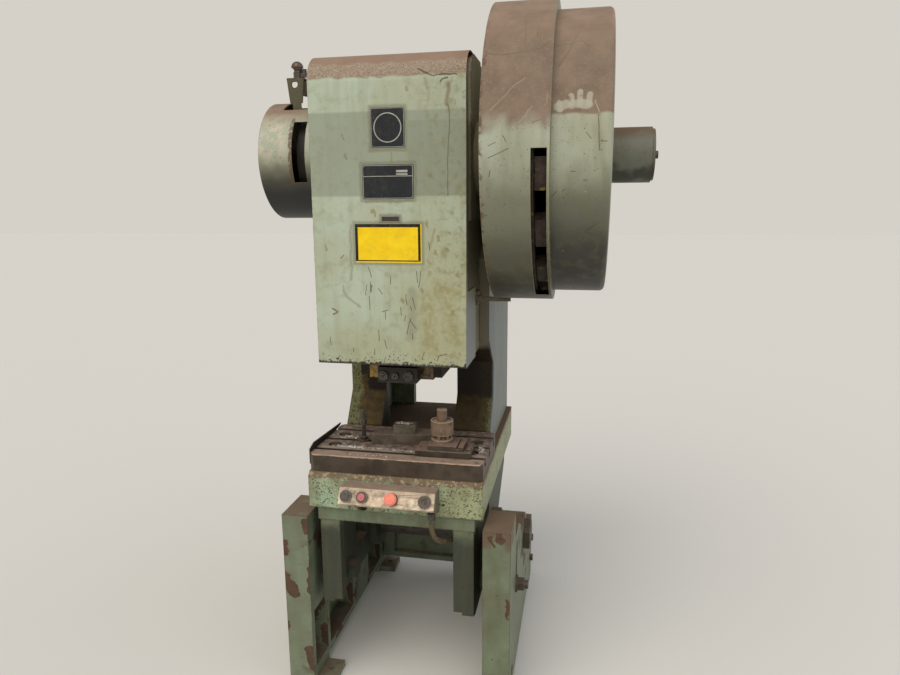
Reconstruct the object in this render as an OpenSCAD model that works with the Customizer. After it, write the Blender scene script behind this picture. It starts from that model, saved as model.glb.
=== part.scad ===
// Open-back inclinable stamping press. +Z up, the operator stands on the -Y side.
// Origin: middle of the four anchor holes, on the floor. All sizes in millimetres.

/* [Table] */
// Width of the bolster plate, left to right
bolster_w = 600; // [580:10:620]
// Depth of the bolster plate
bolster_d = 330; // [316:2:344]
// Thickness of the bolster plate
bolster_t = 60; // [54:2:64]
// Height of the bolster's top above the floor
table_h = 880; // [870:5:900]

/* [Head] */
// Width of the sheet cover over the head
cover_w = 496; // [488:2:500]
// Height of the cover's bottom edge above the bolster
daylight = 323; // [315:2:330]
// Height of the cover from bottom edge to top
cover_h = 967; // [950:5:980]
// Outer radius of the bend at the top of the cover
cover_bend = 90; // [70:5:100]
// Open width between the two uprights
back_open = 282; // [270:4:290]

/* [Crank and slide] */
// Height of the crank axis above the bolster
crank_h = 983; // [975:2:990]
// Stroke set on the crank pin
stroke = 40; // [30:2:44]
// Diameter of the crankshaft in its bearings
shaft_d = 90; // [84:2:94]
// Width of the slide between its gibs
slide_w = 134; // [130:2:138]
// Diameter of the die shank hole
shank_d = 50; // [40:2:52]
// Height of the slide's underside above the bolster, slide up
slide_up = 247; // [240:1:255]

/* [Flywheel and guards] */
// Diameter of the flywheel's belt rim
wheel_d = 800; // [780:5:810]
// Outer diameter of the inner guard drum
guard_d = 916; // [912:2:930]
// Outer diameter of the outer guard drum
guard2_d = 856; // [840:4:870]
// Outer diameter of the brake guard
brake_guard_d = 384; // [378:2:390]
// Number of V-belts
belts = 4; // [2:1:4]

/* [Pedestal] */
// Depth of the pedestals on the floor
ped_d = 942; // [930:4:950]
// Width of each pedestal leg
leg_w = 93; // [85:2:100]
// Diameter of the pivot shaft the frame tilts on
pivot_d = 90; // [80:2:96]
// Diameter of the anchor holes
anchor_d = 22; // [18:1:26]

/* [Controls] */
// Length of the control box
box_w = 328; // [320:2:336]
// Diameter of a push button's cap
button_d = 24; // [20:1:25]
// Travel of a push button
press_in = 4; // [2:0.5:5]

/* [Hidden] */
$fn = 64;
// running gap between a turning or sliding face and its guide
run = 0.05;
// gap between pieces that are seated on one another
seat = 0.3;
sheet = 3;
// main planes
front_y = -ped_d / 2 + 31;
table_top = table_h - bolster_t;
table_x = bolster_w / 2 + 1;
table_drop = 130;
table_low = table_top - table_drop;
table_front = front_y - 12;
plate_x0 = table_x - 71;
plate_x1 = table_x - 31;
cheek_x0 = back_open / 2;
cheek_x1 = bolster_w / 2 - 20;
cheek_front = front_y + 407;
// the uprights' flared feet stand right behind the bolster
foot_y = front_y + bolster_d + seat;
foot_h = 125;
cheek_back = cheek_front + 468;
slot_y = [for (i = [0 : 2]) front_y + 60 + 105 * i];
bolt_y = [for (i = [0 : 1]) (slot_y[i] + slot_y[i + 1]) / 2];
bolt_x = bolster_w / 2 - 53;
cover_low = table_h + daylight;
cover_top = cover_low + cover_h;
head_low = cover_low + 7;
head_top = cover_top - sheet - seat;
head_x = cover_w / 2 - sheet - 1;
head_front = front_y + 60;
head_side_end = front_y + 283;
head_t = 35;
head_slope = 270;
back_wall_z = cover_low + 107;
cross_rib_z = cover_low + 54;
wall = 38;
// crank line
crank_y = front_y + 220;
crank_z = table_h + crank_h;
throw = stroke / 2;
pin_z = crank_z + throw;
pin_r = 50;
shaft_r = shaft_d / 2;
wheel_seat_r = shaft_r - 3;
clutch_seat_r = shaft_r - 7;
brake_seat_r = shaft_r - 5;
bush_r = shaft_r + 15;
web_x0 = 62;
web_x1 = 98;
rod_half = web_x0 - 2;
rod_bolt = pin_r + 35;
bearing_x0 = 150;
bearing_x1 = 246;
pad_x = cover_w / 2 + 4;
// slide and rod
slide_x = slide_w / 2;
slide_y0 = front_y + 85;
slide_y1 = front_y + 340;
slide_z0 = table_h + slide_up;
slide_z1 = slide_z0 + 353;
gib_x = slide_x + 46;
gib_z0 = slide_z0 + 2;
gib_z1 = head_low + 330;
tongue_w = 50;
tongue_x = 20;
ball_r = 38;
ball_z = slide_z0 + 173;
screw_r = 26;
rod_low = ball_z + 260;
// swing of the rod's foot to each side while it hangs straight
sway = throw + 3;
cap_h = 52;
// flywheel side
guard_x0 = 322;
guard_x1 = 507;
guard_x2 = 668;
end_x = 806;
end_r = 85;
guard_r = guard_d / 2;
guard2_r = guard2_d / 2;
wheel_r = wheel_d / 2;
belt_pitch = 19;
belt_x0 = 352;
belt_w = 11;
lug_r = guard_r - 18;
guard_round = 16;
clutch_open_r = guard2_r - 48;
shaft_open_r = guard2_r - 368;
slot_high = crank_z - 8;
slot_low = crank_z - guard_r + 31;
hub_x0 = guard_x0 + 8;
hub_x1 = guard_x1 - 7;
rim_x0 = guard_x0 + 18;
rim_x1 = guard_x1 - 45;
clutch_x0 = guard_x1 + 8;
clutch_x1 = guard_x2 - 28;
// brake side
brake_x = -437;
brake_r = brake_guard_d / 2;
drum_r = 150;
drum_x0 = pad_x + 28;
drum_x1 = drum_x0 + 42;
// bracket of the air valve, top front edge
valve_x = brake_x + 88;
valve_y = crank_y - 70;
valve_z = crank_z + brake_r + 71;
// motor
motor_y = cheek_back + 190;
motor_z = crank_z - 280;
motor_r = 120;
pulley_r = 62;
pulley_x0 = belt_x0 - 10;
pulley_x1 = belt_x0 + 3 * belt_pitch + belt_w + 12;
// pedestal
leg_x0 = bolster_w / 2 + 5;
leg_x1 = leg_x0 + leg_w;
leg_top = table_h - 216;
leg_front = -ped_d / 2;
leg_deep = 165;
pivot_y = front_y + 500;
pivot_z = table_h - 480;
pivot_r = pivot_d / 2;
tilt_max = 25;
tilt_r = 330;
tilt_a0 = -5;
stud_r = 15;
slot_r = 16.5;
anchor_x = leg_x0 - 33;
anchor_y = 390;
// control box, section points measured from the front of the table
box_x1 = table_x - 143;
box_x0 = box_x1 - box_w;
box_y = table_front - seat;
slope_y0 = table_front - 50;
slope_z0 = table_h - 82;
slope_y1 = table_front - 76;
slope_z1 = table_h - 132;
slope_a = 90 - atan2(slope_y0 - slope_y1, slope_z0 - slope_z1);
button_r = button_d / 2;

// box between two corners
module bx(x0, x1, y0, y1, z0, z1) {
    translate([x0, y0, z0])
        cube([x1 - x0, y1 - y0, z1 - z0]);
}
// cylinders along each axis
module xcyl(x0, x1, y, z, r) {
    translate([x0, y, z])
        rotate([0, 90, 0])
            cylinder(h = x1 - x0, r = r);
}
module ycyl(y0, y1, x, z, r) {
    translate([x, y0, z])
        rotate([-90, 0, 0])
            cylinder(h = y1 - y0, r = r);
}
module zcyl(z0, z1, x, y, r) {
    translate([x, y, z0])
        cylinder(h = z1 - z0, r = r);
}
// a section drawn in Y and Z, pulled along X
module xpull(x0, x1) {
    translate([x0, 0, 0])
        rotate([90, 0, 90])
            linear_extrude(x1 - x0)
                children();
}
// the same shape on the right and on the left
module both() {
    children();
    mirror([1, 0, 0])
        children();
}

// pedestals
module leg_profile() {
    difference() {
        union() {
            polygon([[leg_front, 0], [leg_front, leg_top], [leg_front + leg_deep, leg_top],
                [leg_front + leg_deep, leg_top - 95], [pivot_y - 250, leg_top - 95],
                [pivot_y - 60, pivot_z + 60], [pivot_y + 60, pivot_z + 60],
                [pivot_y + 140, 290], [-leg_front, 290], [-leg_front, 0]]);
            translate([pivot_y, pivot_z])
                circle(r = 85);
        }
        // foot arch
        translate([-330, -1])
            square([660, 46]);
    }
}
// curved slot the clamp studs run in while the frame tilts
module tilt_slot() {
    difference() {
        intersection() {
            difference() {
                circle(r = tilt_r + slot_r);
                circle(r = tilt_r - slot_r);
            }
            polygon([[0, 0], 2 * tilt_r * [-cos(tilt_a0), sin(tilt_a0)],
                2 * tilt_r * [-cos(tilt_a0 + tilt_max), sin(tilt_a0 + tilt_max)]]);
        }
        circle(r = 10);
    }
    for (a = [tilt_a0, tilt_a0 + tilt_max])
        translate(tilt_r * [-cos(a), sin(a)])
            circle(r = slot_r);
}
module pedestal() {
    difference() {
        union() {
            xpull(leg_x0, leg_x1)
                leg_profile();
            for (s = [-1, 1])
                bx(anchor_x - 34, leg_x0 + 1, s * anchor_y - 50, s * anchor_y + 50, 0, 25);
        }
        // pockets open to the inside, the outer face stays whole
        bx(leg_x0 - 1, leg_x1 - 25, leg_front + 25, leg_front + leg_deep - 25, 70, pivot_z - 110);
        bx(leg_x0 - 1, leg_x1 - 25, leg_front + leg_deep, pivot_y - 110, 70, pivot_z - 110);
        bx(leg_x0 - 1, leg_x1 - 25, pivot_y + 100, 330, 70, 250);
        xcyl(leg_x0 - 1, leg_x1 + 1, pivot_y, pivot_z, pivot_r + seat);
        translate([0, pivot_y, pivot_z])
            xpull(leg_x0 - 1, leg_x1 + 1)
                tilt_slot();
        for (s = [-1, 1])
            zcyl(-1, 26, anchor_x, s * anchor_y, anchor_d / 2);
        for (z = [110, 210])
            xcyl(leg_x0 - 1, leg_x1 + 1, 400, z, 10.3);
    }
}
module pedestal_right() {
    color("#7c8c74")
        pedestal();
}
module pedestal_left() {
    color("#7c8c74")
        mirror([1, 0, 0])
            pedestal();
}
module cross_tie() {
    color("#6f7d69")
        difference() {
            bx(-leg_x0 + seat, leg_x0 - seat, 380, 420, 60, 260);
            bx(-leg_x0 + 60, leg_x0 - 60, 379, 405, 85, 235);
            for (s = [-1, 1])
                for (z = [110, 210])
                    translate([s * (leg_x0 - 20), 0, 0])
                        xcyl(-21, 21, 400, z, 10.3);
        }
}
module tie_bolts() {
    color("#4a4640")
        both()
            for (z = [110, 210]) {
                xcyl(leg_x0 - 35, leg_x1 + seat, 400, z, 10);
                translate([leg_x1 + seat, 400, z])
                    rotate([0, 90, 0])
                        cylinder(h = 13, r = 17, $fn = 6);
            }
}
module pivot_shaft() {
    color("#6c6860")
        xcyl(-leg_x1 - 28, leg_x1 + 28, pivot_y, pivot_z, pivot_r);
}
module pivot_nuts() {
    color("#4a4640")
        both()
            translate([leg_x1 + seat, pivot_y, pivot_z])
                rotate([0, 90, 0])
                    difference() {
                        cylinder(h = 26, r = pivot_r + 22, $fn = 6);
                        translate([0, 0, -1])
                            cylinder(h = 28, r = pivot_r + seat);
                    }
}

// frame: table, uprights and head are one casting
module side_profile() {
    polygon([[cheek_front, table_top - 20], [cheek_front, table_h + 250], [head_side_end, table_h + 361],
        [head_side_end, crank_z - brake_r - 140], [crank_y + brake_r + 10, crank_z - brake_r - 20],
        [crank_y + brake_r + 10, head_top], [cheek_back - head_slope - 5, head_top],
        [cheek_back, head_top - head_slope], [cheek_back, table_top - 20]]);
}
module throat_profile() {
    polygon([[cheek_front, table_top - 20], [cheek_front, table_h + 250], [head_side_end, table_h + 361],
        [head_side_end, table_h + 420], [head_side_end + 50, table_h + 420],
        [head_side_end + 50, table_h + 377], [cheek_front + 40, table_h + 270],
        [cheek_front + 40, table_top - 20]]);
}
module lower_profile() {
    difference() {
        polygon([[front_y + 5, table_low + 30], [front_y + 5, pivot_z - 70], [front_y + 40, pivot_z - 85],
            [pivot_y - 60, pivot_z - 85], [pivot_y + 60, pivot_z - 60], [cheek_back, table_low - 130],
            [cheek_back, table_low + 30]]);
        // lightening windows
        translate([front_y + 250, pivot_z + 10])
            square([130, 190]);
        translate([pivot_y + 110, table_low - 90])
            square([180, 70]);
    }
}
module frame_side() {
    xpull(cheek_x1 - 40, cheek_x1)
        side_profile();
    xpull(cheek_x0, cheek_x1)
        throat_profile();
    bx(cheek_x0, cheek_x1, cheek_back - 40, cheek_back, table_top - 20, head_top - head_slope - 5);
    // flared foot of the upright on the table
    xpull(cheek_x0, cheek_x1)
        polygon([[foot_y, table_top - 1], [foot_y, table_h + 6], [foot_y + 12, table_h + 22],
            [cheek_front + 1, table_h + foot_h], [cheek_front + 1, table_top - 1]]);
    // head side wall, gib carrier and bearing boss
    xpull(head_x - wall, head_x)
        polygon([[head_front, head_low], [head_front, head_top - 60], [head_front + 18, head_top - 18],
            [head_front + 60, head_top], [head_side_end + 60, head_top], [head_side_end + 60, head_low + 90],
            [head_side_end, head_low]]);
    bx(gib_x, head_x - wall + 1, slide_y0 + 30, cheek_front - 10, head_low, gib_z1 + 20);
    bx(gib_x, gib_x + 30, slide_y0 + 34, slide_y1 - 20, gib_z0 + 8, head_low + 1);
    xcyl(bearing_x0, head_x + 1, crank_y, crank_z, bush_r + 38);
    bx(head_x - wall, head_x - 1, head_side_end + 50, cheek_front + 60, table_h + 420, head_top);
    // raised side panel beside the cover
    xpull(head_x - 1, pad_x)
        intersection() {
            polygon([[head_front, crank_z - 200], [head_front, head_top - 60],
                [head_front + 18, head_top - 18], [head_front + 60, head_top],
                [head_side_end - 30, head_top], [head_side_end - 30, crank_z - 200]]);
            translate([head_front - 10, crank_z - 200])
                square([400, 600]);
        }
    // lower side plate beside the pedestal
    xpull(plate_x0, plate_x1)
        lower_profile();
    bx(plate_x0 - 30, plate_x1, front_y + 5, front_y + 45, pivot_z - 60, table_low + 10);
    xcyl(plate_x0 - 30, table_x - 1, pivot_y, pivot_z, 95);
    translate([0, pivot_y, pivot_z])
        xpull(plate_x0 - 30, table_x - 1)
            translate(tilt_r * [-cos(tilt_a0), sin(tilt_a0)])
                circle(r = 36);
}
module table_solid() {
    // table with a bevelled top front edge
    xpull(-table_x, table_x)
        polygon([[table_front, table_low + 6], [table_front, table_top - 16], [table_front + 14, table_top],
            [cheek_back, table_top], [cheek_back, table_low], [table_front + 6, table_low]]);
    // second tier, set back
    bx(-table_x + 26, table_x - 26, front_y, front_y + 45, table_low - 45, table_low + 1);
    both()
        bx(table_x - 66, table_x - 26, front_y, cheek_back - 40, table_low - 45, table_low + 1);
}
module head_top_plate() {
    xpull(-head_x, head_x)
        polygon([[head_front + 60, head_top - head_t], [head_front + 60, head_top],
            [cheek_back - head_slope - 5, head_top], [cheek_back, head_top - head_slope],
            [cheek_back, head_top - head_slope - 42], [cheek_back - head_slope - 20, head_top - head_t]]);
    bx(-cheek_x0 - 1, cheek_x0 + 1, cheek_back - head_t, cheek_back, back_wall_z, head_top - head_slope);
    bx(-gib_x - 1, gib_x + 1, slide_y1 + 10, slide_y1 + 50, cross_rib_z, cross_rib_z + 83);
}
module frame_casting() {
    color("#8b9c80")
        difference() {
            union() {
                table_solid();
                both()
                    frame_side();
                head_top_plate();
                // bearing nose that carries the flywheel guard
                xcyl(head_x - 1, guard_x0 - seat, crank_y, crank_z, 120);
                // spigot face for the brake guard
                xcyl(-pad_x, -head_x + 1, crank_y, crank_z, brake_r);
            }
            // hollow under the table top, between the lower side plates
            bx(-plate_x0 + 1, plate_x0 - 1, table_front + 42, cheek_back - 42, table_low - 60, table_top - 50);
            // bearing bores
            xcyl(-pad_x - 1, guard_x0, crank_y, crank_z, bush_r + seat);
            // pivot bore, the frame swings on it
            xcyl(-table_x - 1, table_x + 1, pivot_y, pivot_z, pivot_r + run);
            // bolt holes through the table for the bolster
            for (s = [-1, 1])
                for (y = bolt_y)
                    zcyl(table_top - 51, table_top + 1, s * bolt_x, y, 12);
            // clamp stud holes
            both()
                xcyl(table_x - 81, table_x, pivot_y - tilt_r * cos(tilt_a0), pivot_z + tilt_r * sin(tilt_a0),
                    stud_r + seat);
            // half-round gap and screw hole in the front of the table
            ycyl(table_front - 1, table_front + 43, -110, table_h - 170, 18);
            ycyl(table_front - 1, table_front + 16, 171, table_h - 143, 4);
            // gib bolt holes
            both()
                for (z = gib_rows)
                    xcyl(gib_x - 1, head_x - wall + 2, crank_y - 45, z, 8.3);
        }
}
gib_rows = [head_low + 62, head_low + 262];
module tilt_studs() {
    color("#55504a")
        both()
            xcyl(table_x - 80, leg_x1 + 44, pivot_y - tilt_r * cos(tilt_a0),
                pivot_z + tilt_r * sin(tilt_a0), stud_r);
}
module tilt_nuts() {
    color("#4a4640")
        both()
            translate([leg_x1 + seat, pivot_y - tilt_r * cos(tilt_a0), pivot_z + tilt_r * sin(tilt_a0)])
                rotate([0, 90, 0])
                    difference() {
                        union() {
                            cylinder(h = 6, r = 30);
                            translate([0, 0, 5])
                                cylinder(h = 25, r = 26, $fn = 6);
                        }
                        translate([0, 0, -1])
                            cylinder(h = 40, r = stud_r + seat);
                    }
}

// bolster with T-slots along X
module t_slot(y) {
    xpull(-bolster_w, bolster_w)
        translate([y, table_h]) {
            translate([-9, -31])
                square([18, 32]);
            translate([-16, -31])
                square([32, 14]);
        }
}
module bolster_plate() {
    cut = 13;
    hx = bolster_w / 2;
    color("#4d443a")
        difference() {
            translate([0, 0, table_top])
                linear_extrude(bolster_t)
                    polygon([[-hx, front_y + cut], [-hx + cut, front_y], [hx - cut, front_y],
                        [hx, front_y + cut], [hx, front_y + bolster_d - cut], [hx - cut, front_y + bolster_d],
                        [-hx + cut, front_y + bolster_d], [-hx, front_y + bolster_d - cut]]);
            for (y = slot_y)
                t_slot(y);
            for (s = [-1, 1])
                for (y = bolt_y) {
                    zcyl(table_top - 1, table_h + 1, s * bolt_x, y, 12);
                    zcyl(table_h - 26, table_h + 1, s * bolt_x, y, 22.5);
                }
        }
}
module bolster_bolts() {
    color("#3c3833")
        for (s = [-1, 1])
            for (y = bolt_y)
                difference() {
                    union() {
                        zcyl(table_top - 40, table_h - 25, s * bolt_x, y, 10);
                        zcyl(table_h - 25.7, table_h - 6, s * bolt_x, y, 16);
                    }
                    translate([s * bolt_x, y, table_h - 16])
                        cylinder(h = 12, r = 8, $fn = 6);
                }
}

// sheet cover over the front of the head
module cover_section(t) {
    difference() {
        translate([front_y + t, cover_low + t])
            square([150 - t, cover_h - 2 * t]);
        translate([front_y, cover_top - cover_bend])
            difference() {
                square(cover_bend);
                translate([cover_bend, 0])
                    circle(r = cover_bend - t);
            }
    }
}
module head_cover() {
    hx = cover_w / 2;
    color("#a9b79c")
        difference() {
            union() {
                xpull(-hx, hx)
                    difference() {
                        cover_section(0);
                        cover_section(sheet);
                        translate([front_y + 100, cover_low - 1])
                            square([60, 60]);
                    }
                // short side returns, deeper along the bottom
                both()
                    xpull(hx - sheet, hx)
                        intersection() {
                            cover_section(0);
                            translate([front_y, cover_low])
                                square([26, cover_h]);
                        }
                both()
                    bx(hx - sheet, hx, front_y + 20, front_y + 178, cover_low, cover_low + 240);
            }
            // cut out under the slide
            bx(-gib_x - 12, gib_x + 12, front_y + sheet, front_y + 200, cover_low - 1, cover_low + sheet + 1);
        }
}

// crank bearings
module bush() {
    difference() {
        xcyl(bearing_x0 + 2, bearing_x1, crank_y, crank_z, bush_r);
        xcyl(bearing_x0, bearing_x1 + 1, crank_y, crank_z, shaft_r + run);
    }
}
module bush_right() {
    color("#9c7a3c")
        bush();
}
module bush_left() {
    color("#9c7a3c")
        mirror([1, 0, 0])
            bush();
}

// gibs with a groove for the slide's tongue
module gib() {
    difference() {
        bx(slide_x + run, gib_x - seat, slide_y0 + 35, slide_y1 - 20, gib_z0, gib_z1);
        bx(slide_x - 1, slide_x + tongue_x + run, crank_y - tongue_w / 2 - run, crank_y + tongue_w / 2 + run,
            gib_z0 - 1, gib_z1 + 1);
        for (z = gib_rows) {
            xcyl(slide_x, gib_x + 1, crank_y - 45, z, 8.3);
            xcyl(slide_x - 1, slide_x + 16, crank_y - 45, z, 13.5);
        }
    }
}
module gib_right() {
    color("#8f8038")
        gib();
}
module gib_left() {
    color("#8f8038")
        mirror([1, 0, 0])
            gib();
}
module gib_bolts() {
    color("#4a4640")
        both()
            for (z = gib_rows) {
                xcyl(slide_x + 15, gib_x + 50, crank_y - 45, z, 8);
                xcyl(slide_x + 3, slide_x + 15.7, crank_y - 45, z, 13);
            }
}

// brake side
module brake_guard() {
    color("#a3a88f")
        difference() {
            xcyl(brake_x, -pad_x - seat, crank_y, crank_z, brake_r);
            xcyl(brake_x + sheet, -pad_x - sheet - seat, crank_y, crank_z, brake_r - sheet);
            xcyl(-pad_x - sheet - 1, -pad_x + 1, crank_y, crank_z, brake_r - 25);
            // window at the front
            bx(brake_x + 114, brake_x + 159, crank_y - brake_r - 9, crank_y - brake_r + 46, crank_z - 76,
                crank_z + 113);
            // opening on top for the valve bracket
            bx(brake_x + 57, -pad_x + 1, crank_y - brake_r * cos(55), crank_y + 60,
                crank_z + brake_r * sin(55) - 4, crank_z + brake_r + 1);
        }
}
module brake_band() {
    color("#5a4a3a")
        difference() {
            union() {
                xcyl(-drum_x1 + 4, -drum_x0 - 4, crank_y, crank_z, drum_r + 7);
                bx(-drum_x1 + 10, -drum_x0 - 10, crank_y + drum_r, crank_y + drum_r + 30, crank_z - 14, crank_z + 14);
            }
            xcyl(-drum_x1 + 3, -drum_x0 - 3, crank_y, crank_z, drum_r + seat);
            bx(-drum_x1 + 2, -drum_x0 - 2, crank_y + drum_r - 5, crank_y + drum_r + 31, crank_z - 3, crank_z + 3);
        }
}
module brake_drum() {
    color("#4f4b45")
        difference() {
            union() {
                xcyl(-drum_x1, -drum_x0, crank_y, crank_z, drum_r);
                xcyl(brake_x + 37, -drum_x1 + 1, crank_y, crank_z, 70);
            }
            difference() {
                xcyl(-drum_x1 - 1, -drum_x1 + 16, crank_y, crank_z, drum_r - 14);
                xcyl(-drum_x1 - 2, -drum_x1 + 17, crank_y, crank_z, 70);
            }
            xcyl(brake_x + 36, -drum_x0 + 1, crank_y, crank_z, brake_seat_r + seat);
        }
}
module valve_bracket() {
    z0 = valve_z - 79;
    color("#7d7a68")
        difference() {
            union() {
                // tapered front with a stem down into the guard
                translate([valve_x, valve_y + 3, 0])
                    rotate([90, 0, 0])
                        linear_extrude(6)
                            polygon([[-21, z0], [-30, valve_z], [30, valve_z], [21, z0], [16, z0],
                                [16, z0 - 25], [-12, z0 - 25], [-12, z0]]);
                bx(valve_x - 30, valve_x + 30, valve_y - 3, valve_y + 40, valve_z - 5, valve_z);
                bx(valve_x + 18, valve_x + 24, valve_y - 1, valve_y + 36, z0 + 25, valve_z - 2);
                // arm and foot against the head
                bx(valve_x - 12, -pad_x - 1, valve_y - 3, valve_y + 25, z0 - 25, z0 - 17);
                bx(-pad_x - 9, -pad_x - seat, valve_y - 12, valve_y + 38, z0 - 29, z0 - 13);
            }
            ycyl(valve_y - 5, valve_y + 5, valve_x - 3, valve_z - 20, 11);
        }
}
module valve_body() {
    color("#6f6a5c") {
        translate([valve_x + 4, valve_y + 15, valve_z + seat])
            cylinder(h = 20, r = 17, $fn = 6);
        bx(valve_x - 6, valve_x + 32, valve_y + 7, valve_y + 23, valve_z + 4, valve_z + 14);
        zcyl(valve_z + 19, valve_z + 30, valve_x + 4, valve_y + 15, 13);
        translate([valve_x + 26, valve_y + 15, valve_z + 13])
            cylinder(h = 16, r = 8.5, $fn = 6);
    }
}
module valve_dome() {
    z0 = valve_z + 30 + seat;
    color("#8f887a") {
        zcyl(z0, z0 + 5, valve_x + 2, valve_y + 15, 15.5);
        translate([valve_x + 2, valve_y + 15, z0 + 4])
            difference() {
                sphere(r = 20);
                translate([-30, -30, -60])
                    cube(60);
            }
    }
}

// flywheel guards
module belt_box(t) {
    polygon([[crank_y, crank_z - guard_r + t], [crank_y, crank_z + guard_r - t],
        [motor_y + 60, motor_z + 150 - t], [motor_y + 120 - t, motor_z + 90],
        [motor_y + 120 - t, motor_z - 90], [motor_y + 60, motor_z - 140 + t]]);
}
module flywheel_guard_inner() {
    bx1 = belt_x0 + 4 * belt_pitch + 22;
    color("#8d937c")
        difference() {
            union() {
                xcyl(guard_x0, guard_x1, crank_y, crank_z, guard_r);
                xpull(guard_x0, bx1)
                    belt_box(0);
            }
            xcyl(guard_x0 + sheet, guard_x1 - sheet, crank_y, crank_z, guard_r - sheet);
            xpull(guard_x0 + sheet, bx1 - sheet)
                belt_box(sheet);
            // openings round the bearing nose and towards the clutch
            xcyl(guard_x0 - 1, guard_x0 + sheet + 1, crank_y, crank_z, 95);
            xcyl(guard_x1 - sheet - 1, guard_x1 + 1, crank_y, crank_z, clutch_open_r);
            // motor shaft
            xcyl(guard_x0 - 1, guard_x0 + sheet + 1, motor_y, motor_z, 40);
            // tall slot at the front
            bx(rim_x1 - 4, hub_x1, crank_y - guard_r - 5, crank_y - guard_r / 3, slot_low, slot_high);
        }
}
// a drum along X with its right rim rounded
module round_drum(x0, x1, r, rounding) {
    translate([x0, crank_y, crank_z])
        rotate([0, 90, 0])
            rotate_extrude() {
                square([r, x1 - x0 - rounding]);
                square([r - rounding, x1 - x0]);
                translate([r - rounding, x1 - x0 - rounding])
                    intersection() {
                        circle(r = rounding);
                        square(rounding);
                    }
            }
}
module flywheel_guard_outer() {
    color("#8d937c")
        difference() {
            round_drum(guard_x1 + seat, guard_x2, guard2_r, guard_round);
            round_drum(guard_x1 + seat + sheet, guard_x2 - sheet, guard2_r - sheet, guard_round - sheet);
            xcyl(guard_x1, guard_x1 + sheet + 1, crank_y, crank_z, clutch_open_r);
            xcyl(guard_x2 - sheet - 1, guard_x2 + 1, crank_y, crank_z, shaft_open_r);
        }
}
module end_cap() {
    color("#6a6f5e")
        difference() {
            union() {
                xcyl(guard_x2 + seat, end_x - 8, crank_y, crank_z, end_r);
                xcyl(end_x - 9, end_x, crank_y, crank_z, end_r - 6);
                xcyl(end_x - 1, end_x + 14, crank_y, crank_z, 12);
            }
            xcyl(guard_x2, end_x - 12, crank_y, crank_z, end_r - 8);
        }
}
module guard_bracket() {
    z = crank_z - guard_r - seat - 8;
    color("#5b5a4e") {
        bx(head_x + seat, head_x + 8, crank_y - 20, crank_y + 40, z - 20, z + 26);
        xcyl(head_x + 7, guard_x0 + 40, crank_y, z, 8);
        xcyl(head_x + 7, head_x + 24, crank_y, z, 13);
    }
}

// drive at the back
module motor_bracket() {
    z = motor_z - motor_r - 22;
    color("#6f7d69") {
        bx(-cheek_x0 - 39, cheek_x1, cheek_back + seat, cheek_back + 16, z - 60, z + motor_r);
        bx(-80, cheek_x1 - 18, cheek_back + 15, motor_y + motor_r + 10, z - 14, z);
        for (x = [-70, 90, cheek_x1 - 40])
            xpull(x, x + 12)
                polygon([[cheek_back + 10, z - 60], [cheek_back + 10, z - 10], [motor_y + 110, z - 10]]);
    }
}
module motor() {
    z = motor_z - motor_r - 22 + seat;
    color("#5e6b70") {
        // shell with cooling fins between two end shields, fan cowl on the left
        xcyl(-60, 230, motor_y, motor_z, motor_r - 13);
        for (a = [0 : 15 : 345])
            translate([0, motor_y, motor_z])
                rotate([a + 7.5, 0, 0])
                    bx(-50, 220, -2, 2, motor_r - 15, motor_r - 1);
        for (x = [-60, 212])
            xcyl(x, x + 18, motor_y, motor_z, motor_r);
        xcyl(-88, -59, motor_y, motor_z, motor_r - 14);
        xcyl(229, 246, motor_y, motor_z, motor_r - 70);
        for (x = [-20, 160]) {
            bx(x, x + 46, motor_y - 105, motor_y + 105, z, z + 14);
            bx(x, x + 46, motor_y - 70, motor_y + 70, z + 10, z + 64);
        }
        // terminal box
        bx(40, 130, motor_y - 50, motor_y + 50, motor_z + motor_r - 26, motor_z + motor_r + 42);
        bx(36, 134, motor_y - 54, motor_y + 54, motor_z + motor_r + 41, motor_z + motor_r + 48);
    }
}
module motor_bolts() {
    z = motor_z - motor_r - 22 + seat;
    color("#4a4640")
        for (x = [3, 183])
            for (s = [-1, 1])
                translate([x, motor_y + s * 88, z + 14 + seat])
                    cylinder(h = 8, r = 11, $fn = 6);
}
module motor_pulley() {
    color("#55524c")
        difference() {
            union() {
                xcyl(pulley_x0, pulley_x1, motor_y, motor_z, pulley_r + 4);
                xcyl(246 + seat, pulley_x0 + 1, motor_y, motor_z, 19);
            }
            for (i = [0 : 3])
                difference() {
                    xcyl(belt_x0 + i * belt_pitch - 1.5, belt_x0 + i * belt_pitch + belt_w + 1.5,
                        motor_y, motor_z, pulley_r + 6);
                    xcyl(belt_x0 + i * belt_pitch - 3, belt_x0 + i * belt_pitch + belt_w + 3,
                        motor_y, motor_z, pulley_r - 8);
                }
        }
}
// a belt runs round both rims; g is the gap to the groove bottoms
module belt_loop(g) {
    r1 = wheel_r - 9 + g;
    r2 = pulley_r - 7.5 + g;
    d = norm([motor_y - crank_y, motor_z - crank_z]);
    a = atan2(motor_z - crank_z, motor_y - crank_y);
    b = acos((r1 - r2) / d);
    translate([crank_y, crank_z])
        circle(r = r1);
    translate([motor_y, motor_z])
        circle(r = r2);
    polygon([[crank_y, crank_z] + r1 * [cos(a + b), sin(a + b)], [motor_y, motor_z] + r2 * [cos(a + b), sin(a + b)],
        [motor_y, motor_z] + r2 * [cos(a - b), sin(a - b)], [crank_y, crank_z] + r1 * [cos(a - b), sin(a - b)]]);
}
module v_belts() {
    color("#2c2a28")
        for (i = [0 : belts - 1])
            xpull(belt_x0 + i * belt_pitch, belt_x0 + i * belt_pitch + belt_w)
                difference() {
                    belt_loop(10);
                    belt_loop(0);
                }
}

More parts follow.
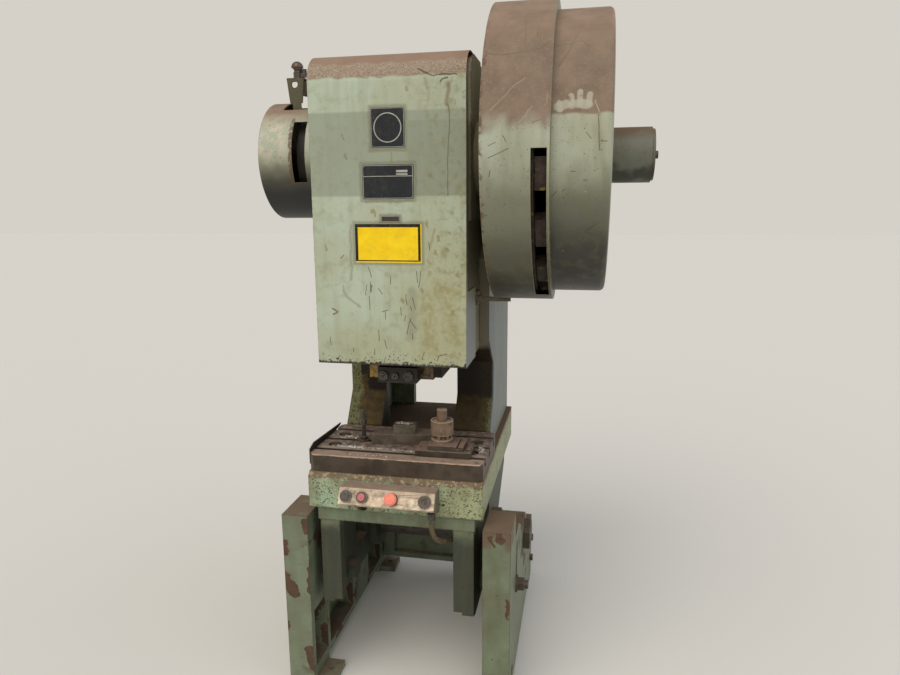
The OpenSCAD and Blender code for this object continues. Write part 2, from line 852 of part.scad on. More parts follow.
// crankshaft: journals, two webs and the pin between them
module crankshaft() {
    color("#7b776e") {
        xcyl(-drum_x0 + 1, -web_x0 - 5, crank_y, crank_z, shaft_r);
        xcyl(web_x0 + 5, guard_x0 - 4, crank_y, crank_z, shaft_r);
        both()
            xcyl(web_x0, web_x1, crank_y, crank_z, 88);
        xcyl(-web_x0 - 1, web_x0 + 1, crank_y, pin_z, pin_r);
        xcyl(brake_x + 25, -drum_x0 + 2, crank_y, crank_z, brake_seat_r);
        xcyl(guard_x0 - 5, guard_x1 - 1, crank_y, crank_z, wheel_seat_r);
        xcyl(guard_x1 - 2, clutch_x1 + 10, crank_y, crank_z, clutch_seat_r);
        xcyl(clutch_x1 + 9, end_x - 36, crank_y, crank_z, 24);
    }
}
module flywheel() {
    color("#5c4638")
        difference() {
            union() {
                xcyl(rim_x0, rim_x1, crank_y, crank_z, wheel_r);
                xcyl(rim_x1 - 10, rim_x1 + 2, crank_y, crank_z, lug_r);
                xcyl(hub_x0, hub_x1, crank_y, crank_z, 95);
                // driving lugs round the rim
                for (i = [0 : 15])
                    translate([rim_x1 + 1, crank_y, crank_z])
                        rotate([9.5 - 22.5 * i, 0, 0]) {
                            translate([0, -lug_r + 14, -44])
                                cube([34, 30, 88]);
                            translate([6, -lug_r + 4, -44])
                                cube([28, 11, 88]);
                        }
            }
            // dished sides
            difference() {
                xcyl(rim_x0 - 1, rim_x0 + 48, crank_y, crank_z, wheel_r - 55);
                xcyl(rim_x0 - 2, rim_x0 + 49, crank_y, crank_z, 95);
            }
            difference() {
                xcyl(rim_x1 - 48, rim_x1 + 8, crank_y, crank_z, wheel_r - 55);
                xcyl(rim_x1 - 49, rim_x1 + 9, crank_y, crank_z, 95);
            }
            // V-belt grooves
            for (i = [0 : 3])
                difference() {
                    xcyl(belt_x0 + i * belt_pitch - 1.5, belt_x0 + i * belt_pitch + belt_w + 1.5, crank_y,
                        crank_z, wheel_r + 2);
                    xcyl(belt_x0 + i * belt_pitch - 3, belt_x0 + i * belt_pitch + belt_w + 3, crank_y,
                        crank_z, wheel_r - 10);
                }
            xcyl(hub_x0 - 1, hub_x1 + 1, crank_y, crank_z, wheel_seat_r + run);
        }
}
module clutch_hub() {
    color("#67625a")
        difference() {
            union() {
                xcyl(clutch_x0, clutch_x0 + 25, crank_y, crank_z, 300);
                xcyl(clutch_x0 + 24, clutch_x0 + 85, crank_y, crank_z, 220);
                xcyl(clutch_x0 + 84, clutch_x1, crank_y, crank_z, 90);
            }
            xcyl(clutch_x0 - 1, clutch_x1 + 1, crank_y, crank_z, clutch_seat_r + seat);
        }
}

// connecting rod, straight down at both ends of the stroke
module rod_ring() {
    xcyl(-rod_half, rod_half, crank_y, pin_z, pin_r + 28);
    for (s = [-1, 1])
        bx(-rod_half + 12, rod_half - 12, crank_y + s * rod_bolt - 24, crank_y + s * rod_bolt + 20,
            pin_z - 40, pin_z + 40);
}
module connecting_rod() {
    color("#6e6a61")
        difference() {
            union() {
                difference() {
                    rod_ring();
                    bx(-200, 200, crank_y - 200, crank_y + 200, pin_z - seat / 2, pin_z + 200);
                }
                zcyl(rod_low, pin_z - 60, 0, crank_y, 48);
                bx(-40, 40, crank_y - 46, crank_y + 46, pin_z - 160, pin_z - 60);
            }
            xcyl(-rod_half - 1, rod_half + 1, crank_y, pin_z, pin_r + run);
            zcyl(rod_low - 1, rod_low + 150, 0, crank_y, screw_r + seat);
            for (s = [-1, 1])
                zcyl(pin_z - 36, pin_z + 1, 0, crank_y + s * rod_bolt, 9.3);
        }
}
module rod_cap() {
    color("#6e6a61")
        difference() {
            rod_ring();
            bx(-200, 200, crank_y - 200, crank_y + 200, pin_z - 200, pin_z + seat / 2);
            xcyl(-rod_half - 1, rod_half + 1, crank_y, pin_z, pin_r + run);
            for (s = [-1, 1])
                zcyl(pin_z - 1, pin_z + 41, 0, crank_y + s * rod_bolt, 9.3);
        }
}
module rod_bolts() {
    color("#4a4640")
        for (s = [-1, 1])
            translate([0, crank_y + s * rod_bolt, 0]) {
                zcyl(pin_z - 34, pin_z + 41, 0, 0, 9);
                translate([0, 0, pin_z + 40 + seat])
                    cylinder(h = 12, r = 15, $fn = 6);
            }
}
module adjusting_screw() {
    color("#75716a") {
        translate([0, crank_y, ball_z])
            sphere(r = ball_r);
        zcyl(ball_z, rod_low + 140, 0, crank_y, screw_r);
    }
}
module screw_locknut() {
    color("#4a4640")
        difference() {
            translate([0, crank_y, rod_low - 30 - seat])
                cylinder(h = 30, r = 46, $fn = 6);
            zcyl(rod_low - 32, rod_low + 2, 0, crank_y, screw_r + seat);
        }
}

// slide
module slide() {
    color("#6b675d")
        difference() {
            union() {
                bx(-slide_x, slide_x, slide_y0, slide_y1, slide_z0, slide_z1);
                both()
                    bx(slide_x - 1, slide_x + tongue_x, crank_y - tongue_w / 2, crank_y + tongue_w / 2,
                        slide_z0 + 60, slide_z1);
            }
            // hollow for the ball end and the screw
            bx(-ball_r - 8, ball_r + 8, crank_y - ball_r - sway - 2, crank_y + ball_r + sway + 2,
                ball_z - ball_r - 7, slide_z1 + 1);
            // shank hole
            zcyl(slide_z0 - 1, slide_z0 + 100, 0, crank_y, shank_d / 2);
            // seat of the clamp
            bx(-slide_x - 1, slide_x + 1, slide_y0 - 1, crank_y, slide_z0 - 1, slide_z0 + cap_h + seat);
            for (x = [-46, 41])
                ycyl(crank_y - 1, crank_y + 60, x, slide_z0 + 25, 8.3);
        }
}
module ball_cap() {
    z = ball_z + 32;
    color("#9c7a3c")
        difference() {
            bx(-ball_r - 8 + seat, ball_r + 8 - seat, crank_y - ball_r - sway - 2 + seat,
                crank_y + ball_r + sway + 2 - seat, z, z + 20);
            bx(-screw_r - 2, screw_r + 2, crank_y - screw_r - sway, crank_y + screw_r + sway, z - 1, z + 21);
        }
}
module shank_clamp() {
    color("#5f5b50")
        difference() {
            bx(-slide_x, slide_x, front_y + 66, crank_y - 1, slide_z0, slide_z0 + cap_h);
            zcyl(slide_z0 - 1, slide_z0 + cap_h + 1, 0, crank_y, shank_d / 2);
            for (x = [-46, 41])
                ycyl(front_y + 60, crank_y, x, slide_z0 + 25, 8.3);
            ycyl(front_y + 60, crank_y, -5, slide_z0 + 25, 10.3);
        }
}
module clamp_nuts() {
    color("#8a8577")
        for (x = [-46, 41]) {
            ycyl(front_y + 50, crank_y + 55, x, slide_z0 + 25, 8);
            translate([x, front_y + 66 - seat, slide_z0 + 25])
                rotate([90, 0, 0])
                    cylinder(h = 12, r = 15);
        }
}
module set_screw() {
    color("#77736a")
        difference() {
            ycyl(front_y + 54, crank_y - shank_d / 2 - 3, -5, slide_z0 + 25, 10);
            translate([-5, front_y + 62, slide_z0 + 25])
                rotate([90, 0, 0])
                    cylinder(h = 10, r = 5, $fn = 6);
        }
}

// control box with a sloped face
module box_section() {
    polygon([[box_y, slope_z0], [slope_y0, slope_z0], [slope_y1, slope_z1],
        [slope_y0 - 2, slope_z1 - 15], [box_y, slope_z1 - 34]]);
}
module box_inner() {
    polygon([[box_y - 3, slope_z0 - 3], [slope_y0 + 2, slope_z0 - 3], [slope_y1 + 4, slope_z1],
        [slope_y0, slope_z1 - 11], [box_y - 3, slope_z1 - 30]]);
}
// places something on the sloped face, its axis square to it
module on_slope(x, z) {
    y = slope_y0 - (slope_z0 - z) * (slope_y0 - slope_y1) / (slope_z0 - slope_z1);
    translate([x, y, z])
        rotate([slope_a, 0, 0])
            children();
}
button_x = [box_x0 + 27, box_x0 + 82, box_x0 + 183, box_x0 + 294];
button_z = table_h - 108;
module control_box() {
    color("#a39c86")
        difference() {
            xpull(box_x0, box_x1)
                box_section();
            xpull(box_x0 + 3, box_x1 - 3)
                box_inner();
            for (x = button_x)
                on_slope(x, button_z)
                    translate([0, 0, -8])
                        cylinder(h = 16, r = button_r - 0.7);
            // conduit entry
            zcyl(slope_z1 - 60, slope_z1 - 5, box_x1 - 22, box_y - 22, 8.3);
        }
}
module collar(r, h) {
    difference() {
        translate([0, 0, seat])
            cylinder(h = h, r = r);
        translate([0, 0, -1])
            cylinder(h = h + 2, r = button_r - 4 + run);
        translate([0, 0, 1.5])
            cylinder(h = h, r = button_r + run);
    }
}
module push(h) {
    translate([0, 0, -14])
        cylinder(h = 20, r = button_r - 4);
    translate([0, 0, press_in + 2])
        cylinder(h = h, r = button_r);
}
module button_collars() {
    color("#3a3835") {
        on_slope(button_x[0], button_z)
            collar(20, 7);
        on_slope(button_x[1], button_z)
            collar(19, 8);
        on_slope(button_x[3], button_z)
            collar(21, 12);
    }
}
module stop_collar() {
    color("#2b2a29")
        on_slope(button_x[2], button_z)
            difference() {
                translate([0, 0, seat])
                    cylinder(h = 8, r = 21);
                translate([0, 0, -1])
                    cylinder(h = 10, r = button_r - 4 + run);
            }
}
module start_button() {
    color("#2f3033")
        on_slope(button_x[0], button_z)
            push(5);
}
module small_button() {
    color("#b0504c")
        on_slope(button_x[1], button_z)
            push(7);
}
module stop_button() {
    color("#c4463a")
        on_slope(button_x[2], button_z) {
            translate([0, 0, -14])
                cylinder(h = 30, r = button_r - 4);
            translate([0, 0, 9 + press_in])
                cylinder(h = 10, r = 20);
            translate([0, 0, 18 + press_in])
                cylinder(h = 5, r1 = 20, r2 = 16);
        }
}
module end_button() {
    color("#3a2f2c")
        on_slope(button_x[3], button_z)
            push(4);
}
module conduit_gland() {
    color("#35332f")
        difference() {
            union() {
                zcyl(slope_z1 - 52, slope_z1 - 28 - 3.2, box_x1 - 22, box_y - 22, 13);
                zcyl(slope_z1 - 52, slope_z1 - 12, box_x1 - 22, box_y - 22, 8);
            }
            zcyl(slope_z1 - 53, slope_z1 - 11, box_x1 - 22, box_y - 22, 5);
        }
}
// flexible conduit, sweeping back under the table
module conduit() {
    bend = 80;
    x = box_x1 - 22;
    y = box_y - 22;
    z = slope_z1 - 52 - seat;
    color("#4b463c") {
        zcyl(z - 24, z, x, y, 9);
        translate([x, y, z - 24])
            rotate([0, 0, -30]) {
                translate([0, bend, 0])
                    rotate([180, 0, 0])
                        rotate([90, 0, 90])
                            rotate_extrude(angle = 75)
                                translate([bend, 0])
                                    circle(r = 9);
                translate([0, bend * (1 - cos(75)), -bend * sin(75)])
                    rotate([-90 - 15, 0, 0]) {
                        cylinder(h = 80, r = 9);
                        translate([0, 0, -6])
                            cylinder(h = 12, r = 10.5);
                    }
            }
    }
}

// tooling on the bolster
module die_base() {
    color("#5d5349")
        translate([bolster_w / 2 - 48, front_y, table_h]) {
            bx(-190, 0, 42, 140, 0, 22);
            difference() {
                bx(-147, -24, 45, 136, 21, 41);
                bx(-47, -42, 44, 137, 32, 42);
            }
            // stop strip at the right end
            bx(-14, -3, 60, 128, 21, 29);
        }
}
module die_drum() {
    color("#7b6a5a")
        translate([bolster_w / 2 - 153, front_y + 93, table_h + 41 + seat])
            difference() {
                union() {
                    zcyl(0, 12, 0, 0, 37);
                    zcyl(11, 30, 0, 0, 20);
                    // pillars in the gap under the body
                    for (a = [20 : 60 : 320])
                        zcyl(11, 30, 29 * cos(a), 29 * sin(a), 5);
                    zcyl(29, 76, 0, 0, 38.5);
                    zcyl(71, 113, 0, 0, 17.5);
                }
                // recess inside the top rim
                difference() {
                    zcyl(72, 77, 0, 0, 33);
                    zcyl(71, 78, 0, 0, 17.4);
                }
                // set screw hole in the front
                ycyl(-40, -28, 4, 52, 2.5);
            }
}
module tool_block() {
    color("#565047")
        translate([-116, front_y + 129, table_h])
            rotate([0, 0, 7.3])
                difference() {
                    bx(0, 212, 0, 60, 0, 38);
                    // rebate along the back, where the finger tools lie
                    bx(-1, 70, 22, 61, 30, 39);
                }
}
module tool_step() {
    color("#565047")
        translate([-116, front_y + 129, table_h])
            rotate([0, 0, 7.3])
                difference() {
                    bx(77, 155, 8, 54, 38 + seat, 69);
                    bx(76, 156, 27, 35, 61, 70);
                }
}
module hold_down_stud() {
    color("#4a4640")
        translate([-157, slot_y[1], 0]) {
            zcyl(table_h - 31 + seat, table_h + 116, 0, 0, 7);
            bx(-14, 14, -14, 14, table_h - 30, table_h - 18);
            // washer and nut at the foot, a long nut higher up
            zcyl(table_h + seat, table_h + 5, 0, 0, 20);
            translate([0, 0, table_h + 4])
                cylinder(h = 13, r = 15, $fn = 6);
            translate([0, 0, table_h + 62])
                cylinder(h = 18, r = 13, $fn = 6);
        }
}
module side_plate() {
    color("#3d3630")
        translate([0, front_y, table_h])
            xpull(-bolster_w / 2 - 4, -bolster_w / 2 - seat)
                polygon([[14, -41], [14, 12], [52, 24], [bolster_d - 12, 10], [bolster_d - 24, 2], [150, -12]]);
}

pedestal_left();
pedestal_right();
cross_tie();
tie_bolts();
pivot_shaft();
pivot_nuts();
frame_casting();
tilt_studs();
tilt_nuts();
bolster_plate();
bolster_bolts();
head_cover();
bush_left();
bush_right();
gib_left();
gib_right();
gib_bolts();
brake_guard();
brake_band();
valve_bracket();
valve_body();
valve_dome();
flywheel_guard_inner();
flywheel_guard_outer();
end_cap();
guard_bracket();
motor_bracket();
motor();
motor_bolts();
v_belts();
control_box();
button_collars();
stop_collar();
conduit();
conduit_gland();
crankshaft();
brake_drum();
flywheel();
clutch_hub();
motor_pulley();
connecting_rod();
rod_cap();
rod_bolts();
adjusting_screw();
screw_locknut();
slide();
ball_cap();
shank_clamp();
clamp_nuts();
set_screw();
start_button();
small_button();
stop_button();
end_button();
die_base();
die_drum();
tool_block();
tool_step();
hold_down_stud();
side_plate();
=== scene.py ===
# %% [markdown]
# A mechanical stamping press from a workshop: a cast frame in sage green enamel, a sheet cover over the head,
# two flywheel guards full of brown dust and a dark oily bolster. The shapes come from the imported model, so
# this lesson is about finishes: how old enamel, dust, rust, grease and bare iron are built from a few layers.

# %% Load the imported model
import math
import random

import bmesh
import bpy
from mathutils import Matrix, Vector


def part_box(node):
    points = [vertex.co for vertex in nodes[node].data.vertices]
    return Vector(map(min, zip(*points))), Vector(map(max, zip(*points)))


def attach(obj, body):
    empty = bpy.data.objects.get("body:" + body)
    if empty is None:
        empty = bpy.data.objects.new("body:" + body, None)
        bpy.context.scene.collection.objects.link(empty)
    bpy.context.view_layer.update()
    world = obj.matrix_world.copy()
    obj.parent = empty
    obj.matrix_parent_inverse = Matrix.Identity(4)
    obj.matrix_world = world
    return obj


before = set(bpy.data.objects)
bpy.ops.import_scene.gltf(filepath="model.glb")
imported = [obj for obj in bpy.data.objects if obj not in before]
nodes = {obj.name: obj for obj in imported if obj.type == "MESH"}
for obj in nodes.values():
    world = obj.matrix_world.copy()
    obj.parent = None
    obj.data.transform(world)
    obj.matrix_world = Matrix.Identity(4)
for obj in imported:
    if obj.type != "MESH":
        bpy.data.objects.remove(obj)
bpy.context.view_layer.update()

MM = 0.001
print("nodes in the packed model:", len(nodes))

# %% [markdown]
# The camera stands where the photographer stood: a little right of the press, at eye height, with a wide
# lens that looks slightly down and to the left. It could be set by eye, but the straight edges of the cover,
# the table and the pedestals fix its place much better, so it was solved from them.

# %% Camera
eye = Vector((604.3, -2488.9, 1707.1)) * MM
turn_left, look_down, roll = 0.1972, 0.1919, -0.0063
camera = bpy.data.objects.new("camera", bpy.data.cameras.new("camera"))
camera.data.sensor_width = 36
camera.data.lens = 26.95
camera.matrix_world = (
    Matrix.Translation(eye)
    @ Matrix.Rotation(turn_left, 4, "Z")
    @ Matrix.Rotation(math.pi / 2 - look_down, 4, "X")
    @ Matrix.Rotation(roll, 4, "Z")
)
bpy.context.scene.collection.objects.link(camera)
bpy.context.scene.camera = camera
bpy.context.scene.view_settings.view_transform = "Standard"
print("camera at", [round(v, 3) for v in eye], "lens", camera.data.lens)

# %% [markdown]
# Colours are written as sRGB hex, as a paint chart gives them, and one function turns them to the linear
# values that the shader needs. One more function adds any node, with its settings and its links, to the
# material that is on the bench: only one finish is worked on at a time, as in a paint shop.

# %% Colour and node helpers
# sockets that share a name are told apart by their number
VALUE, FROM_MIN, FROM_MAX, TO_MIN, TO_MAX = range(5)
FACTOR, NUMBER_A, NUMBER_B, COLOUR_A, COLOUR_B = 0, 2, 3, 6, 7
COLOUR_OUT = 2
X, Y, Z = range(3)
bench = {}


def paint_chip(code):
    parts = [int(code[i:i + 2], 16) / 255 for i in (1, 3, 5)]
    return tuple(p / 12.92 if p <= 0.04045 else ((p + 0.055) / 1.055) ** 2.4 for p in parts) + (1.0,)


def add(kind, links=None, out=0, **settings):
    tree = bench["tree"]
    node = tree.nodes.new("ShaderNode" + kind)
    for name, value in settings.items():
        setattr(node, name, value)
    for name, value in (links or {}).items():
        if isinstance(value, bpy.types.NodeSocket):
            tree.links.new(value, node.inputs[name])
        else:
            node.inputs[name].default_value = value
    return node.outputs[out]


# %% [markdown]
# Dirt follows rules: dust lies on what faces up, paint chips off at edges, oil runs down. Each rule is a
# mask between 0 and 1, worked out in millimetres on the object itself, so that it moves with the piece.
# Three rulers are used: the piece as it stands, its front as a drawing board, and a drum's skin unrolled.

# %% Rulers
TO_MM = 1000
SHIFT_MM = (1000, 700, 400)


def on_piece(stretch=(1, 1, 1), shift=0.0):
    """The point on the piece in millimetres. A stretch under 1 draws a pattern out along that axis."""
    point = add("TexCoord", out="Object")
    return add("Mapping", {"Vector": point, "Scale": [TO_MM * s for s in stretch],
                           "Location": [shift * s for s in SHIFT_MM]})


def on_front():
    """X across and Z up, whatever the depth."""
    return on_piece((1, 0, 1))


AXIS_Y = -220
AXIS_Z = 1863
SKIN_R = 443


def skin(degrees):
    """Millimetres round a drum for an angle above the horizontal front."""
    return math.radians(degrees) * SKIN_R


def on_drum(mirror=False):
    """X across and the way round the crank's axis up, from the front or, mirrored, from the back too."""
    point = add("TexCoord", out="Object")
    point = add("Mapping", {"Vector": point, "Scale": (TO_MM, -TO_MM, TO_MM), "Location": (0, AXIS_Y, -AXIS_Z)})
    parts = [add("SeparateXYZ", {0: point}, out=axis) for axis in (X, Y, Z)]
    if mirror:
        parts[Y] = add("Math", {0: parts[Y]}, operation="ABSOLUTE")
    angle = add("Math", {0: parts[Z], 1: parts[Y]}, operation="ARCTAN2")
    way = add("Math", {0: angle, 1: SKIN_R}, operation="MULTIPLY")
    return add("CombineXYZ", {X: parts[X], Z: way})


# %% Masks
def overlap(masks):
    """Where all the masks hold. A plain number among them is a strength."""
    masks = masks if isinstance(masks, list) else [masks]
    result = masks[0]
    for other in masks[1:]:
        result = add("Math", {0: result, 1: other}, operation="MULTIPLY")
    return result


def spots(size_mm, level, soft=0.03, detail=3.0, stretch=(1, 1, 1), shift=0.0):
    """Patches about size_mm across. Level 0.5 covers half of the surface, 0.65 leaves a few."""
    lumps = add("TexNoise", {"Vector": on_piece(stretch, shift), "Scale": 1 / size_mm, "Detail": detail,
                             "Roughness": 0.55})
    return add("MapRange", {VALUE: lumps, FROM_MIN: level - soft, FROM_MAX: level + soft})


def along(axis, start, end, wobble=0.0, size_mm=60, ruler=on_piece):
    """0 before start and 1 after end, measured in millimetres along X, Y or Z, with an uneven edge."""
    place = add("SeparateXYZ", {0: ruler()}, out=axis)
    if wobble:
        stray = add("TexNoise", {"Vector": on_piece(), "Scale": 1 / size_mm, "Detail": 4.0})
        stray = add("MapRange", {VALUE: stray, FROM_MIN: 0.3, FROM_MAX: 0.7, TO_MIN: wobble, TO_MAX: -wobble})
        place = add("Math", {0: place, 1: stray}, operation="ADD")
    return add("MapRange", {VALUE: place, FROM_MIN: start, FROM_MAX: end}, interpolation_type="SMOOTHSTEP")


def up_the_drum(start, end, wobble, size_mm=120):
    """Like along, but in degrees above the horizontal, at the front and the back of a drum."""
    return along(Z, skin(start), skin(end), wobble, size_mm, lambda: on_drum(mirror=True))


def facing(axis, low, high):
    """1 where the surface faces along the axis."""
    normal = add("TexCoord", out="Normal")
    part = add("SeparateXYZ", {0: normal}, out=axis)
    return add("MapRange", {VALUE: part, FROM_MIN: low, FROM_MAX: high})


def worn_edges(width_mm, chips_mm, level=0.5):
    """Edges, broken up into chips. Where the rounded normal leaves the true one, there is an edge."""
    bevelled = add("Bevel", {"Radius": width_mm * MM}, samples=4)
    flat = add("NewGeometry", out="Normal")
    match = add("VectorMath", {0: bevelled, 1: flat}, out="Value", operation="DOT_PRODUCT")
    edge = add("MapRange", {VALUE: match, FROM_MIN: 0.995, FROM_MAX: 0.86})  # cosines of 6 and 31 degrees
    return overlap([edge, spots(chips_mm, level, 0.06, 4.0)])


# %% [markdown]
# Scratches, runs and finger marks are drawn lines. The mask is the distance from the point to the nearest
# line, and a little noise added to the point makes the line waver as a hand or a drop does. A material with
# many lines needs care: a clamp node and a scale node, rather than a clamped product, free their values
# early, and the renderer has room for a few hundred at once.

# %% Drawn lines
def strokes(lines, width_mm, wobble=3.0, size_mm=60, soft=0.5, ruler=on_front):
    point = ruler()
    stray = add("TexNoise", {"Vector": on_piece(), "Scale": 1 / size_mm, "Detail": 2.0}, out="Color")
    stray = add("VectorMath", {0: stray, 1: (0.5, 0.5, 0.5)}, operation="SUBTRACT")
    point = add("VectorMath", {0: stray, 1: (4 * wobble, 0, 4 * wobble), 2: point}, operation="MULTIPLY_ADD")
    nearest = None
    for line in lines:
        for start, end in zip(line, line[1:]):
            a, b = Vector((start[0], 0, start[1])), Vector((end[0], 0, end[1]))
            span = b - a
            offset = add("VectorMath", {0: point, 1: a}, operation="SUBTRACT")
            share = add("VectorMath", {0: offset, 1: span / span.length_squared}, out="Value",
                        operation="DOT_PRODUCT")
            share = add("Clamp", {0: share})
            foot = add("VectorMath", {0: span, "Scale": share}, operation="SCALE")
            gap = add("VectorMath", {0: offset, 1: foot}, out="Value", operation="DISTANCE")
            if nearest is not None:
                gap = add("Math", {0: nearest, 1: gap}, operation="MINIMUM")
            nearest = gap
    half = width_mm * 0.5
    return add("MapRange", {VALUE: nearest, FROM_MIN: half, FROM_MAX: half * (1 - soft)})


def drum_strokes(lines, *widths, **settings):
    """Lines on a drum, given as X across and degrees above the horizontal front."""
    unrolled = [[(x, skin(degrees)) for x, degrees in line] for line in lines]
    return strokes(unrolled, *widths, ruler=on_drum, **settings)


# %% [markdown]
# A coat is what a surface is at one depth: its colour, roughness, metal and height. Laying one more layer
# mixes all four by the same mask, as a real layer of dust or rust covers what is under it.

# %% Coats
def lay(masks, colour=None, rough=None, metal=None, height=None):
    where = overlap(masks)
    coat = bench["coat"]
    if colour is not None:
        shade = paint_chip(colour) if isinstance(colour, str) else colour
        coat["colour"] = add("Mix", {FACTOR: where, COLOUR_A: coat["colour"], COLOUR_B: shade},
                             out=COLOUR_OUT, data_type="RGBA")
    for name, value in (("rough", rough), ("metal", metal)):
        if value is not None:
            coat[name] = add("Mix", {FACTOR: where, NUMBER_A: coat[name], NUMBER_B: value})
    if height is not None:
        coat["height"] = add("Math", {0: where, 1: height, 2: coat["height"]}, operation="MULTIPLY_ADD")


def two_shades(first, second, size_mm, shift=0.0, low=0.35, high=0.65, stretch=(1, 1, 1)):
    """A colour that drifts between two shades over size_mm."""
    drift = spots(size_mm, (low + high) / 2, (high - low) / 2, 3.0, stretch, shift)
    return add("Mix", {FACTOR: drift, COLOUR_A: paint_chip(first), COLOUR_B: paint_chip(second)},
               out=COLOUR_OUT, data_type="RGBA")


def new_material(name):
    material = bpy.data.materials.new(name)
    material.use_nodes = True
    bench.update(material=material, tree=material.node_tree)
    return material.node_tree.nodes["Principled BSDF"]


def open_finish(name, first, second, size_mm, rough=0.5, metal=0.0, grain_mm=2.5, grain=0.06, **drift):
    """Puts a new material on the bench with its first coat: two shades of paint or metal and a fine grain."""
    new_material(name)
    pebbles = spots(grain_mm, 0.5, 0.25, 2.0)
    bench["coat"] = {"colour": two_shades(first, second, size_mm, **drift), "rough": rough, "metal": metal,
                     "height": overlap([pebbles, grain])}


def close_finish(bump_mm=0.6, **constants):
    """Joins the coat to the shader. Constants go straight on the shader's own sockets."""
    tree, coat = bench["tree"], bench["coat"]
    sockets = tree.nodes["Principled BSDF"].inputs
    for name, value in constants.items():
        sockets[name.replace("_", " ")].default_value = value
    for name, socket in (("colour", "Base Color"), ("rough", "Roughness"), ("metal", "Metallic")):
        if isinstance(coat[name], bpy.types.NodeSocket):
            tree.links.new(coat[name], sockets[socket])
        else:
            sockets[socket].default_value = coat[name]
    bump = add("Bump", {"Height": coat["height"], "Distance": bump_mm * MM}, out="Normal")
    tree.links.new(bump, sockets["Normal"])
    print(bench["material"].name, "nodes", len(tree.nodes))
    return bench["material"]


# %% [markdown]
# Enamel on sheet steel, sprayed on in a thin even coat. It is smooth with a dull shine, so the eye reads it
# from soft highlights, brown dust along the top, oily stains low down and black chips at edges. Noise could
# dirty it, but this cover is known by its own marks, so the large ones are drawn, with X across and Z up.

# %% Cover enamel
COVER_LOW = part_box("head_cover")[0].z / MM
COVER_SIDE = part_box("head_cover")[1].x / MM
LOGO_PLATE = (-48, 59, 1885, 2002)
DATA_PLATE = (-79, 85, 1731, 1835)
NAME_PLATE = (-22, 39, 1661, 1680)
YELLOW_PLATE = (-108, 107, 1535, 1655)


def outline(plate, out=0):
    x0, x1, z0, z1 = plate
    x0, x1, z0, z1 = x0 - out, x1 + out, z0 - out, z1 + out
    return [(x0, z0), (x1, z0), (x1, z1), (x0, z1), (x0, z0)]


def cover_stains():
    # the right and the lower half have yellowed with oil
    lay([along(X, -60, 160, 90, 160), along(Z, 1730, 1600, 60, 160), 0.65], "#a9aa86")
    lay([along(Z, 1420, 1240, 60, 160), 0.4], "#9c9b78")
    # a painted shadow: a duller band across the plates, where a beam overhead shades the cover
    shadow_band = overlap([along(Z, 1736, 1744), along(Z, 1996, 1988)])
    lay([shadow_band, 0.75], "#8d9583", rough=0.5)
    # more painted shadow on the band's right part, below Z 1960
    lay([shadow_band, along(X, 66, 74), along(Z, 1966, 1960), 0.35], "#7e8570")
    # dull brown blotches everywhere, more of them on the right
    lay([spots(34, 0.62, 0.09, 5, shift=7.3), 0.35], "#86805c")
    lay([spots(24, 0.58, 0.07, 4, shift=3.1), along(X, 70, 190, 50, 90), 0.5], "#847849", rough=0.36)
    # faint runs of oil
    lay([spots(26, 0.6, 0.12, 2, (1, 1, 0.08), 1.7), 0.22], "#86845f", rough=0.36)
    # the large stain low on the right, and smaller ones
    large = strokes([[(150, 1452), (200, 1440)], [(188, 1410), (215, 1300)], [(124, 1426), (129, 1265)]],
                    78, 12, 50, soft=0.8)
    lay([large, spots(16, 0.45, 0.12, 5, shift=2), 0.55], "#91864f", rough=0.34)
    lay([strokes([[(74, 1440), (70, 1300)]], 52, 8, 40, soft=0.7), 0.5], "#84836c")
    blots = [(190, 1578), (150, 1569), (105, 1447), (221, 1498), (205, 1381), (44, 1413), (-139, 1919),
             (66, 2052), (-132, 1862), (138, 1801), (126, 1654), (-45, 1690), (-204, 1580), (160, 1612)]
    marks = strokes([[(x - 2, z + 5), (x + 2, z - 5)] for x, z in blots], 13, 6, 14, soft=0.6)
    lay([marks, 0.65], "#83764c")
    runs = strokes([[(148, 1638), (142, 1612)], [(141, 1604), (135, 1584)], [(-122, 1650), (-125, 1480)],
                    [(-155, 1456), (-145, 1428), (-122, 1408), (-98, 1392)], [(123, 2082), (133, 2053)],
                    [(17, 1874), (17, 1842)], [(-58, 1876), (66, 1874)], [(-70, 1724), (80, 1726)]],
                   11, 3, 30, soft=0.7)
    lay([runs, 0.5], "#867b57")
    # rims of dirt round the plates
    for plate, out in ((LOGO_PLATE, 4), (DATA_PLATE, 5), (YELLOW_PLATE, 4), (NAME_PLATE, 2)):
        lay([strokes([outline(plate, out)], 16, 2, 30, soft=0.9), 0.55], "#6f6d54")


# %% [markdown]
# Lines are the finest marks: a run of oil that comes down from the dust, and scratches where tools hit.

